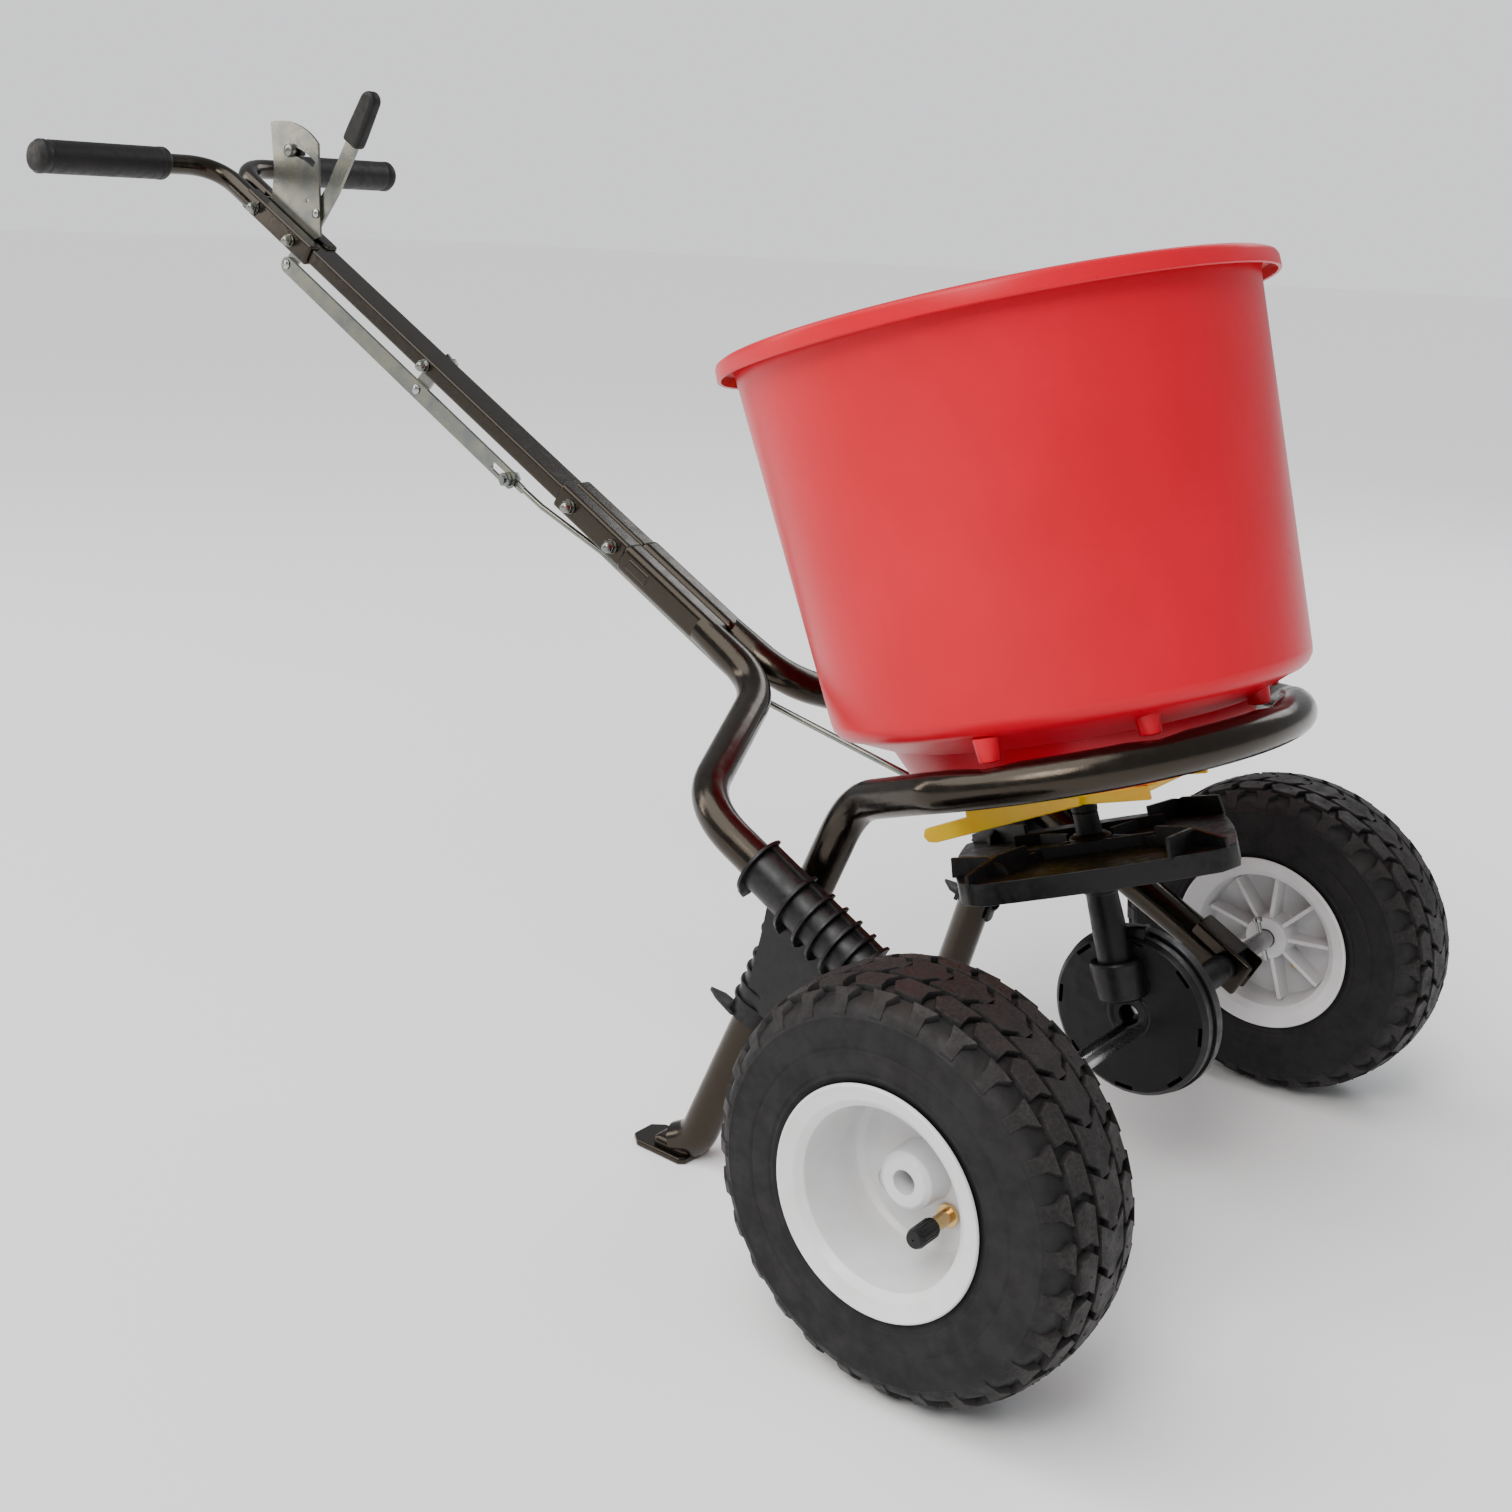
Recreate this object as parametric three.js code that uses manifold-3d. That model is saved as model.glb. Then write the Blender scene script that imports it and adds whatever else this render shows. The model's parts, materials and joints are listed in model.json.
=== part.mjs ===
// Push broadcast spreader: two air-filled wheels, a round hopper over a spinning
// disc, a tube frame with a kickstand ring, and a T handle with a rate lever.
// Units are millimetres, +Z is up, +X is the way it travels. It stands on its kickstand.
import * as THREE from 'three';
import { mergeVertices } from 'three/addons/utils/BufferGeometryUtils.js';
import Module from 'manifold-3d';

// ---- driving dimensions -------------------------------------------------
const TYRE_R = 114.3;
const TYRE_HALF = 45;
const RIM_LIP_R = 62.5;
const RIM_HALF = 47;
const WHEEL_Y = 262;
const AXLE_X = 428.2;
const AXLE_R = 6.3;
const LEAN = 17 * Math.PI / 180;
const GAP = 0.3;

const TUBE_R = 12.7;
const TUBE_WALL = 1.8;
const RING_R = 158;
const RING_X = -16;
const RING_Z = 187;
const FOOT_Y = 157;

const HOPPER_X = 5;
const HOPPER_TOP_Z = 478;
const HOPPER_LOW_R = RING_R - 2;
const HOPPER_TOP_R = HOPPER_LOW_R + 20;
const HOPPER_LOW_Z = 218;
const HOPPER_FLOOR_R = HOPPER_LOW_R - 52;
const HOPPER_FLOOR_Z = 168;
const HOPPER_WALL = 3.5;
const LIP_OUT = 12;
const PEG_COUNT = 5;

const SHAFT_R = 5;
const SPINNER_Z = 118;
const SPINNER_HALF = 85;
const SPINNER_TURN = 0.5;
const VANE_HEIGHT = 15;
const SPINNER_SLEEVE = 24;
const NECK_TOP = 100;
const GEARBOX_R = 53;
const GEARBOX_Z = 9;

const HANDLE_ANGLE = 46.48 * Math.PI / 180;
const CORNER_X = -754;
const CORNER_Z = 801;
const UPPER_R = 9.5;
const GRIP_R = 15.5;
const GRIP_END = 209;
const GRIP_START = 72;
const BEND_R = 58;
const SLEEVE_START = 56;
const SLEEVE_END = 160;
const MIDDLE_HALF_Y = 13.5;
const MIDDLE_HALF_N = 7;
const COLLAR_END = 603;
const COLLAR_START = COLLAR_END - 84;
const FLAT_END = COLLAR_END + 100;
const LINK_LEAN = 12 * Math.PI / 180;
const LINK_LEN = 30;
const PIVOT_S = 133;
const IDLER_S = 336;

// ---- solids -------------------------------------------------------------
const wasm = await Module();
wasm.setup();

const toSolid = (geometry) => {
  const bare = geometry.clone();
  bare.deleteAttribute('normal');
  bare.deleteAttribute('uv');
  const merged = mergeVertices(bare, 1e-4);
  const index = merged.index.array;
  const pos = merged.attributes.position.array;
  const keep = [];
  for (let i = 0; i < index.length; i += 3) {
    const [a, b, c] = [index[i], index[i + 1], index[i + 2]];
    if (a !== b && b !== c && a !== c) keep.push(a, b, c);
  }
  const mesh = new wasm.Mesh({
    numProp: 3,
    vertProperties: new Float32Array(pos),
    triVerts: new Uint32Array(keep),
  });
  return new wasm.Manifold(mesh);
};

const toGeometry = (solid) => {
  const mesh = solid.simplify(0.03).getMesh();
  const geometry = new THREE.BufferGeometry();
  const position = new THREE.BufferAttribute(new Float32Array(mesh.vertProperties), 3);
  geometry.setAttribute('position', position);
  geometry.setIndex(new THREE.BufferAttribute(new Uint32Array(mesh.triVerts), 1));
  geometry.computeVertexNormals();
  return geometry;
};

const join = (...parts) => toGeometry(parts.map(toSolid).reduce((a, b) => a.add(b)));
const cut = (body, ...tools) => toGeometry(tools.map(toSolid).reduce((a, b) => a.subtract(b), toSolid(body)));

const box = (x0, x1, y0, y1, z0, z1) => {
  const geometry = new THREE.BoxGeometry(x1 - x0, y1 - y0, z1 - z0);
  return geometry.translate((x0 + x1) / 2, (y0 + y1) / 2, (z0 + z1) / 2);
};
const cylZ = (r, z0, z1, x = 0, y = 0, sides = 16, rTop = r) => {
  const geometry = new THREE.CylinderGeometry(rTop, r, z1 - z0, sides).rotateX(Math.PI / 2);
  return geometry.translate(x, y, (z0 + z1) / 2);
};
const cylY = (r, y0, y1, x = 0, z = 0, sides = 16) => {
  const geometry = new THREE.CylinderGeometry(r, r, y1 - y0, sides);
  return geometry.translate(x, (y0 + y1) / 2, z);
};
const cylX = (r, x0, x1, y = 0, z = 0, sides = 16) => {
  const geometry = new THREE.CylinderGeometry(r, r, x1 - x0, sides).rotateZ(-Math.PI / 2);
  return geometry.translate((x0 + x1) / 2, y, z);
};
// A closed ring turned about Y from [radius, y] points listed once round the section.
const turnY = (profile, segments) => {
  const points = profile.map(([r, y]) => new THREE.Vector2(r, y));
  if (THREE.ShapeUtils.area(points) < 0) points.reverse();
  points.push(points[0].clone());
  return new THREE.LatheGeometry(points, segments);
};
const turnZ = (profile, segments) => turnY(profile, segments).rotateX(Math.PI / 2);

// Straight runs joined by curved bends, as one path.
const bentPath = (vertices, radius) => {
  const v = vertices.map(([x, y, z]) => new THREE.Vector3(x, y, z));
  const path = new THREE.CurvePath();
  let from = v[0];
  for (let i = 1; i < v.length - 1; i += 1) {
    const back = v[i - 1].clone().sub(v[i]);
    const ahead = v[i + 1].clone().sub(v[i]);
    const half = back.angleTo(ahead) / 2;
    const reach = Math.min(radius / Math.tan(half), back.length() * 0.48, ahead.length() * 0.48);
    const a = v[i].clone().addScaledVector(back.normalize(), reach);
    const b = v[i].clone().addScaledVector(ahead.normalize(), reach);
    path.add(new THREE.LineCurve3(from, a));
    path.add(new THREE.QuadraticBezierCurve3(a, v[i], b));
    from = b;
  }
  path.add(new THREE.LineCurve3(from, v[v.length - 1]));
  return path;
};
const sweep = (path, outer, inner, steps, sides) => {
  const shape = new THREE.Shape();
  shape.absarc(0, 0, outer, 0, Math.PI * 2);
  if (inner > 0) {
    const hole = new THREE.Path();
    hole.absarc(0, 0, inner, 0, Math.PI * 2, true);
    shape.holes.push(hole);
  }
  return new THREE.ExtrudeGeometry(shape, { steps, curveSegments: sides / 2, extrudePath: path });
};
// A flat plate in the XZ plane with thickness along Y.
const plateXZ = (outline, y0, y1, curveSegments = 6) => {
  const shape = Array.isArray(outline) ? new THREE.Shape(outline.map(([x, z]) => new THREE.Vector2(x, z))) : outline;
  const options = { depth: y1 - y0, bevelEnabled: false, curveSegments };
  return new THREE.ExtrudeGeometry(shape, options).rotateX(Math.PI / 2).translate(0, y1, 0);
};
const plateXY = (outline, z0, z1) => {
  const shape = new THREE.Shape(outline.map(([x, y]) => new THREE.Vector2(x, y)));
  const options = { depth: z1 - z0, bevelEnabled: false };
  return new THREE.ExtrudeGeometry(shape, options).translate(0, 0, z0);
};
const mirrorY = (geometry) => toGeometry(toSolid(geometry).mirror([0, 1, 0]));

// ---- materials and scene graph ------------------------------------------
const finish = {
  red: { color: 0xe0001b, roughness: 0.22, metalness: 0 },
  yellow: { color: 0xe6c400, roughness: 0.4, metalness: 0 },
  blackPaint: { color: 0x0d0c0c, roughness: 0.22, metalness: 0.3 },
  blackPlastic: { color: 0x141415, roughness: 0.45, metalness: 0 },
  grip: { color: 0x181312, roughness: 0.5, metalness: 0 },
  tyre: { color: 0x1c1c1e, roughness: 0.8, metalness: 0 },
  white: { color: 0xe4e4e2, roughness: 0.4, metalness: 0 },
  zinc: { color: 0xb4b5a8, roughness: 0.35, metalness: 1 },
  steel: { color: 0xa9abad, roughness: 0.3, metalness: 1 },
  brass: { color: 0xb08a4a, roughness: 0.35, metalness: 1 },
};
const add = (group, name, geometry, look) => {
  const mesh = new THREE.Mesh(geometry, new THREE.MeshStandardMaterial({ ...finish[look] }));
  mesh.name = name;
  group.add(mesh);
};

const spreader = new THREE.Group();
spreader.name = 'garden_spreader';

// The machine frame has its origin on the axle and leans back on the kickstand. AXLE_X puts the
// part's own origin under the middle of its length.
const machine = new THREE.Group();
machine.position.set(AXLE_X, 0, TYRE_R);
machine.rotation.y = -LEAN;
spreader.add(machine);

// The handle frame runs down the handle from the T corner: x along it, z out of its top face.
const handle = new THREE.Group();
handle.position.set(CORNER_X, 0, CORNER_Z);
handle.rotation.y = HANDLE_ANGLE;
machine.add(handle);
const ALONG = [Math.cos(HANDLE_ANGLE), -Math.sin(HANDLE_ANGLE)];
const toHandle = ([x, y, z]) => {
  const dx = x - CORNER_X;
  const dz = z - CORNER_Z;
  return [dx * ALONG[0] + dz * ALONG[1], y, -dx * ALONG[1] + dz * ALONG[0]];
};
// A point measured from the floor under the axle, as a point of the machine frame.
const groundPoint = ([x, y, z]) => [
  x * Math.cos(LEAN) + (z - TYRE_R) * Math.sin(LEAN),
  y,
  -x * Math.sin(LEAN) + (z - TYRE_R) * Math.cos(LEAN),
];

// ---- wheels -------------------------------------------------------------
const HUB_R = 16;
const BARREL_R = 50.6;
const BORE_R = AXLE_R + GAP;
// out is the side away from the frame: the rim is dished on that side.
const rimSection = [
  [RIM_LIP_R - 1.2, -RIM_HALF], [RIM_LIP_R, -RIM_HALF + 1], [RIM_LIP_R, -RIM_HALF + 2.6],
  [BARREL_R, -RIM_HALF + 5.5], [BARREL_R, RIM_HALF - 5.5], [RIM_LIP_R, RIM_HALF - 2.6],
  [RIM_LIP_R, RIM_HALF - 1], [RIM_LIP_R - 1.2, RIM_HALF], [54, RIM_HALF - 1.5],
  [46.6, RIM_HALF - 7], [45.8, 15], [HUB_R, 11], [HUB_R, 34], [BORE_R, 34],
  [BORE_R, -16], [HUB_R - 2, -16], [HUB_R, -14], [HUB_R, 6], [41, 9], [46, 4],
  [46.6, -RIM_HALF + 7], [54, -RIM_HALF + 1.5],
];
const RIB_COUNT = 9;
const rimGeometry = () => {
  const ribs = [];
  for (let i = 0; i < RIB_COUNT; i += 1) {
    ribs.push(box(HUB_R - 2, 47, 10, 31, -1.6, 1.6).rotateY((i * 2 * Math.PI) / RIB_COUNT));
  }
  const web = join(turnY(rimSection, 24), ...ribs);
  return cut(web, cylY(4.4, 2, 20, VALVE_X, VALVE_Z, 12));
};
const VALVE_X = 10;
const VALVE_Z = -24;
const tyreSection = [
  [51, -38.5], [62.9, -43.6], [78, -TYRE_HALF], [96, -43.5], [107, -38.5], [112.6, -26],
  [TYRE_R, -8], [TYRE_R, 8], [112.6, 26], [107, 38.5], [96, 43.5], [78, TYRE_HALF],
  [62.9, 43.6], [51, 38.5], [51, 31], [98, 34], [98, -34], [51, -31],
];
const addWheel = (side, label) => {
  const wheel = new THREE.Group();
  wheel.position.y = side * WHEEL_Y;
  machine.add(wheel);
  const place = (geometry) => (side < 0 ? geometry : mirrorY(geometry));
  add(wheel, `rim_${label}`, place(rimGeometry()), 'white');
  add(wheel, `tyre_${label}`, place(toGeometry(toSolid(turnY(tyreSection, 28).rotateY(LEAN)))), 'tyre');
  const stem = join(cylY(4, -22, 16, VALVE_X, VALVE_Z, 12), cylY(6.6, 3.4, 6, VALVE_X, VALVE_Z, 12));
  add(wheel, `valve_stem_${label}`, place(cut(stem, cylY(2, -30, -10, VALVE_X, VALVE_Z, 8))), 'brass');
  const cap = cut(cylY(5.2, -31, -12, VALVE_X, VALVE_Z, 12), cylY(4 + GAP, -23, -5, VALVE_X, VALVE_Z, 12));
  add(wheel, `valve_cap_${label}`, place(cap), 'blackPlastic');
};
addWheel(-1, 'near');
addWheel(1, 'far');

// ---- axle and gearbox ---------------------------------------------------
const PIN_Y = WHEEL_Y - 34 - 7;
const axleRod = cylY(AXLE_R, -WHEEL_Y + 12, WHEEL_Y - 12, 0, 0, 14);
add(machine, 'axle', cut(axleRod, cylZ(2.4, -12, 12, 0, -PIN_Y, 10), cylZ(2.4, -12, 12, 0, PIN_Y, 10)), 'steel');
const addPin = (y, label) => {
  const head = cylZ(3.6, 14, 17, 0, y, 12);
  add(machine, `axle_pin_${label}`, join(cylZ(2, -14, 14.5, 0, y, 10), head), 'steel');
};
addPin(-PIN_Y, 'near');
addPin(PIN_Y, 'far');
const FRAME_END_Y = 162;
const addBushing = (side, label) => {
  const y0 = side * FRAME_END_Y;
  const flange = cylY(12, y0 + side * 14 - 1.5, y0 + side * 14 + 1.5, 0, 0, 16);
  const body = cylY(8.6, y0 - 15, y0 + 15, 0, 0, 16);
  add(machine, `axle_bushing_${label}`, cut(join(body, flange), cylY(AXLE_R + GAP, -300, 300, 0, 0, 14)), 'blackPlastic');
};
addBushing(-1, 'near');
addBushing(1, 'far');
const spacer = cut(cylY(9.5, 30, FRAME_END_Y - 15.5, 0, 0, 16), cylY(AXLE_R + GAP, 0, 300, 0, 0, 14));
add(machine, 'axle_spacer', spacer, 'blackPlastic');

const BOX_FACE = 2;
const BOX_MID = 13;
const BOX_BACK = 25;
const SHELL = 2.4;
const boxRing = (y0, y1, r) => cylY(r, y0, y1, 0, GEARBOX_Z, 30);
const slots = [];
for (let i = 0; i < 8; i += 1) {
  const slot = box(-6, 6, BOX_FACE - 1, BOX_FACE + 1.1, GEARBOX_R - 6, GEARBOX_R - 3.4);
  slots.push(slot.rotateY(i * Math.PI / 4 + 0.3).translate(0, 0, GEARBOX_Z));
}
const neck = join(
  cylZ(12, 34, NECK_TOP - 3, 0, 0, 20, 10),
  cylZ(12.6, NECK_TOP - 9, NECK_TOP, 0, 0, 16),
  cylZ(16, 22, 46, 0, 0, 20, 17.5),
);
const frontBody = join(boxRing(BOX_FACE, BOX_MID - GAP, GEARBOX_R), neck);
const BEVEL_R = 34;
const frontCuts = [
  boxRing(BOX_FACE + SHELL, BOX_MID + 5, GEARBOX_R - SHELL),
  cylZ(SHAFT_R + GAP, 20, NECK_TOP + 5, 0, 0, 14),
  cylZ(13, 18, 43, 0, 0, 16),
  cylY(AXLE_R + GAP, -10, 20, 0, 0, 14),
  ...slots,
];
add(machine, 'gearbox_front', cut(frontBody, ...frontCuts), 'blackPlastic');
const boss = cylY(15, BOX_BACK - 4, BOX_BACK + 4.5, 0, 0, 16);
const rearBody = join(boxRing(BOX_MID, BOX_BACK, GEARBOX_R + 2), boss);
const rearCuts = [
  boxRing(BOX_MID - 5, BOX_BACK - SHELL, GEARBOX_R - SHELL),
  cylY(AXLE_R + GAP, 0, 60, 0, 0, 14),
];
add(machine, 'gearbox_rear', cut(rearBody, ...rearCuts), 'blackPlastic');
const gearDisc = join(
  cylY(BEVEL_R + 7, 16.6, 20.4, 0, 0, 16),
  cylY(14, 12, 20.4, 0, 0, 16),
  turnY([[BEVEL_R - 5, 17], [BEVEL_R + 7, 17], [BEVEL_R + 7, 13.6], [BEVEL_R - 5, 16]], 24),
);
add(machine, 'drive_gear', cut(gearDisc, cylY(AXLE_R + GAP, 0, 60, 0, 0, 14)), 'steel');

// ---- spinner shaft and what turns with it -------------------------------
const SHAFT_TOP = 226;
const shaftRod = cylZ(SHAFT_R, 21, SHAFT_TOP, 0, 0, 14);
const AGITATOR_Z = 208;
const PIN_Z = SPINNER_Z + SPINNER_SLEEVE + 5;
const pinHoles = [cylX(2.4, -9, 9, 0, AGITATOR_Z, 10), cylX(1.9, -9, 9, 0, PIN_Z, 10)];
add(machine, 'spinner_shaft', cut(shaftRod, ...pinHoles), 'steel');
add(machine, 'agitator_pin', join(cylX(2, -34, 34, 0, AGITATOR_Z, 10), cylX(2.6, -36, -33, 0, AGITATOR_Z, 10)), 'steel');
const pinion = cut(cylZ(7.5, 27, 40, 0, 0, 18, 11.5), cylZ(SHAFT_R + GAP, 10, 60, 0, 0, 14));
add(machine, 'pinion_gear', pinion, 'steel');

const side = SPINNER_HALF;
const bulge = 5;
const spinnerOutline = (grow) => {
  const shape = new THREE.Shape();
  const h = side + grow;
  const reach = side + bulge + grow;
  shape.moveTo(-h, -h + 12);
  shape.lineTo(-h + 12, -h);
  shape.quadraticCurveTo(0, -reach - bulge, h - 12, -h);
  shape.lineTo(h, -h + 12);
  shape.quadraticCurveTo(reach - 6, 0, h, h - 12);
  shape.lineTo(h - 12, h);
  shape.quadraticCurveTo(0, reach + bulge, -h + 12, h);
  shape.lineTo(-h, h - 12);
  shape.quadraticCurveTo(-reach + 6, 0, -h, -h + 12);
  return shape;
};
const slab = (grow, z0, z1) => {
  const options = { depth: z1 - z0, bevelEnabled: false, curveSegments: 10 };
  return new THREE.ExtrudeGeometry(spinnerOutline(grow), options).translate(0, 0, z0);
};
const vane = (turn) => join(
  box(58, side * 1.33, -1.6, 1.6, SPINNER_Z + 2, SPINNER_Z + VANE_HEIGHT),
  box(20, 60, -1.6, 1.6, SPINNER_Z + 2, SPINNER_Z + VANE_HEIGHT * 0.6),
).rotateZ(turn);
const dish = cut(slab(0, SPINNER_Z - 11, SPINNER_Z + 3), slab(-2.4, SPINNER_Z - 20, SPINNER_Z));
const vanes = [1, 3, 5, 7].map((eighth) => vane(eighth * Math.PI / 4));
const spinnerBody = join(dish, ...vanes, cylZ(15, SPINNER_Z + 1, SPINNER_Z + 9, 0, 0, 16), cylZ(8.6, SPINNER_Z, SPINNER_Z + SPINNER_SLEEVE, 0, 0, 16));
add(machine, 'spinner', cut(spinnerBody.rotateZ(SPINNER_TURN), cylZ(SHAFT_R + GAP, 0, 300, 0, 0, 14)), 'blackPlastic');
const collarHole = [cylZ(SHAFT_R + GAP, 0, 300, 0, 0, 14), cylX(1.9, -20, 20, 0, PIN_Z, 10)];
add(machine, 'spinner_collar', cut(cylZ(8.6, PIN_Z - 4.6, PIN_Z + 4.6, 0, 0, 16), ...collarHole), 'blackPlastic');
add(machine, 'spinner_pin', cylX(1.5, -8.8, 8.8, 0, PIN_Z, 10), 'steel');

// ---- hopper and shut-off ------------------------------------------------
const wallAt = (z) => HOPPER_LOW_R + (HOPPER_TOP_R - HOPPER_LOW_R) * ((z - HOPPER_LOW_Z) / (HOPPER_TOP_Z - HOPPER_LOW_Z));
const top = HOPPER_TOP_Z;
const lipR = wallAt(top) + LIP_OUT;
// The floor steps up to a shelf that clears the ring tube.
const SHELF_R = RING_R + RING_X - HOPPER_X - TUBE_R - 5;
const SHELF_Z = RING_Z + TUBE_R + 3.5;
const innerFloor = [
  [HOPPER_FLOOR_R - 2, HOPPER_FLOOR_Z + HOPPER_WALL], [SHELF_R - 3, SHELF_Z + HOPPER_WALL],
  [HOPPER_LOW_R - 4.5 - HOPPER_WALL, HOPPER_LOW_Z],
];
const hopperSection = [
  [lipR - 1.5, top], [lipR, top - 2], [lipR, top - 13], [lipR - 2.5, top - 13], [lipR - 3.2, top - 4],
  [wallAt(top) + 3, top - 4], [wallAt(top - 16), top - 16], [HOPPER_LOW_R, HOPPER_LOW_Z + 5],
  [HOPPER_LOW_R - 4, HOPPER_LOW_Z - 4], [SHELF_R, SHELF_Z], [HOPPER_FLOOR_R, HOPPER_FLOOR_Z],
  [0, HOPPER_FLOOR_Z], [0, HOPPER_FLOOR_Z + HOPPER_WALL], ...innerFloor,
  [HOPPER_LOW_R - HOPPER_WALL, HOPPER_LOW_Z + 8],
  [wallAt(top) - HOPPER_WALL, top],
];
const hopperShell = turnZ(hopperSection, 32).translate(HOPPER_X, 0, 0);
const pegs = [];
const PEG_R = RING_R - 9;
const PEG_SPAN = 2.6;
for (let i = 0; i < PEG_COUNT; i += 1) {
  const a = ((i - (PEG_COUNT - 1) / 2) * PEG_SPAN) / (PEG_COUNT - 1);
  const lowest = RING_Z + TUBE_R + GAP + 0.2;
  pegs.push(cylZ(7, lowest, lowest + 15, RING_X + PEG_R * Math.cos(a), PEG_R * Math.sin(a), 12, 8));
}
const portX = 52;
const ports = (r, z0, z1, shift = 0) => [-0.62, 0, 0.62].map((a) => {
  return cylZ(r, z0, z1, portX * Math.cos(a) + shift, portX * Math.sin(a), 14);
});
const hopperCuts = [...ports(12, 150, 190), cylZ(8, 150, 190, 0, 0, 14)];
const insideSection = [[0, HOPPER_FLOOR_Z + HOPPER_WALL], ...innerFloor, [0, HOPPER_LOW_Z]];
const inside = turnZ(insideSection, 32).translate(HOPPER_X, 0, 0);
add(machine, 'hopper', cut(join(hopperShell, ...pegs), inside, ...hopperCuts), 'red');

const GUIDE_TOP = HOPPER_FLOOR_Z - GAP;
const guideOutline = [[-98, -34], [-84, -50], [-20, -66], [40, -60], [72, -34], [72, 34], [40, 60],
  [-20, 66], [-84, 50], [-98, 34], [-98, 14], [-70, 14], [-70, -14], [-98, -14]];
const fin = (y0, y1) => plateXZ([[-96, 138], [-88, 136], [24, 154], [24, 163], [-60, 163], [-60, 152], [-96, 146]], y0, y1);
const rail = (y0, y1) => box(-60, 70, y0, y1, 154, 163);
const guide = join(plateXY(guideOutline, 161.6, GUIDE_TOP), rail(-44, -41), rail(41, 44), fin(-49, -43), fin(43, 49));
add(machine, 'shutoff_guide', cut(guide, ...ports(12, 150, 190), cylZ(8, 150, 190, 0, 0, 14)), 'yellow');
const shutPlate = box(-106, 64, -40.5, 40.5, 157, 161.3);
const HOOK_X = -123;
const tail = box(HOOK_X - 9, -100, -9, 9, 157, 161.3);
const shaftSlot = join(cylZ(8, 150, 170, 0, 0, 14), cylZ(8, 150, 170, -17, 0, 20), box(-17, 0, -8, 8, 150, 170));
const rodHole = join(cylZ(4.6, 150, 170, HOOK_X, 0, 14), box(HOOK_X - 2, HOOK_X + 2, -3.6, 3.6, 150, 170));
add(machine, 'shutoff_plate', cut(join(shutPlate, tail), shaftSlot, rodHole, ...ports(12, 150, 170, -16)), 'yellow');

// ---- frame tubes --------------------------------------------------------
const LEG_TOP = [-94, -122, 180];
const ringVertices = (() => {
  const points = [];
  for (let i = 0; i <= 20; i += 1) {
    const a = -Math.PI / 2 + (i / 20) * Math.PI;
    points.push([RING_X + RING_R * Math.cos(a), RING_R * Math.sin(a), RING_Z]);
  }
  return points;
})();
const heel = groundPoint([-229, -FOOT_Y, 15]);
const toe = groundPoint([-244, -FOOT_Y, 7]);
const flip = ([x, y, z]) => [x, -y, z];
const legPath = bentPath([toe, heel, LEG_TOP, ringVertices[0]], 46);
const farPath = bentPath([flip(ringVertices[0]), flip(LEG_TOP), flip(heel), flip(toe)], 46);
const ringPath = new THREE.CurvePath();
legPath.curves.forEach((curve) => ringPath.add(curve));
ringPath.add(new THREE.CatmullRomCurve3(ringVertices.map(([x, y, z]) => new THREE.Vector3(x, y, z))));
farPath.curves.forEach((curve) => ringPath.add(curve));
const footPlate = (side_) => {
  const y = side_ * FOOT_Y;
  const plate = box(-276, -228, y - 17, y + 17, 0.02, 4.5);
  return plate.applyMatrix4(new THREE.Matrix4().makeTranslation(0, 0, -TYRE_R)).rotateY(LEAN);
};
const ground = box(-400, 100, -300, 300, -60, 0.02).translate(0, 0, -TYRE_R).rotateY(LEAN);
const drain = (side_) => cylX(2.5, -260, -200, side_ * 149, 15, 8);
const ringTube = join(sweep(ringPath, TUBE_R, TUBE_R - TUBE_WALL, 44, 10), footPlate(-1), footPlate(1));
add(machine, 'kickstand_ring', cut(ringTube, ground, drain(-1), drain(1)), 'blackPaint');

// Ribbed clamps where each leg crosses the lower handle tube, drawn for -Y and mirrored.
const CLAMP_WALL = 3;
const CLAMP_RIB = 6;
const layAlong = (geometry, from, to) => {
  const z = new THREE.Vector3(...to).sub(new THREE.Vector3(...from)).normalize();
  const y = new THREE.Vector3().crossVectors(z, new THREE.Vector3(0, 1, 0)).normalize();
  const x = new THREE.Vector3().crossVectors(y, z);
  return geometry.applyMatrix4(new THREE.Matrix4().makeBasis(x, y, z).setPosition(...from));
};
const TUBE_CLEAR = TUBE_R + 2 * GAP;
const halfClamp = (start, end, ribs, ribOut) => {
  const rings = ribs.map((s) => cylZ(TUBE_CLEAR + ribOut, s, s + 2.6, 0, 0, 14));
  const whole = join(cylZ(TUBE_CLEAR + CLAMP_WALL, start, end, 0, 0, 14), ...rings);
  return cut(whole, box(3, 60, -60, 60, start - 5, end + 5));
};
const handleLine = [[-193, -157, 192], [0, -FRAME_END_Y, 0]];
const legLine = [[LEG_TOP[0], LEG_TOP[1], LEG_TOP[2]], heel];
const bracket = (() => {
  const upper = layAlong(halfClamp(60, 160, [60, 94, 110, 122, 134, 146, 157.4], CLAMP_RIB), ...handleLine);
  const lower = layAlong(halfClamp(92, 166, [92, 108, 122, 132, 142, 152], CLAMP_WALL + 2), ...legLine);
  const flange = layAlong(cut(
    box(-TUBE_CLEAR - 5, 2, -TUBE_CLEAR - 20, TUBE_CLEAR + 5, 163, 166),
    box(-90, -4, -40, -28, 100, 200),
  ), ...legLine);
  const web = plateXZ([[-150, 128], [-98, 84], [-112, 62], [-168, 48], [-186, 62], [-160, 108]], -158, -154);
  const whole = join(upper, lower, flange, web);
  const handleBore = layAlong(cylZ(TUBE_CLEAR, -20, 290), ...handleLine);
  const legBore = layAlong(cylZ(TUBE_CLEAR, -20, 290), ...legLine);
  return cut(whole, handleBore, legBore);
})();
add(machine, 'leg_bracket_near', bracket, 'blackPlastic');
add(machine, 'leg_bracket_far', mirrorY(bracket), 'blackPlastic');

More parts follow.
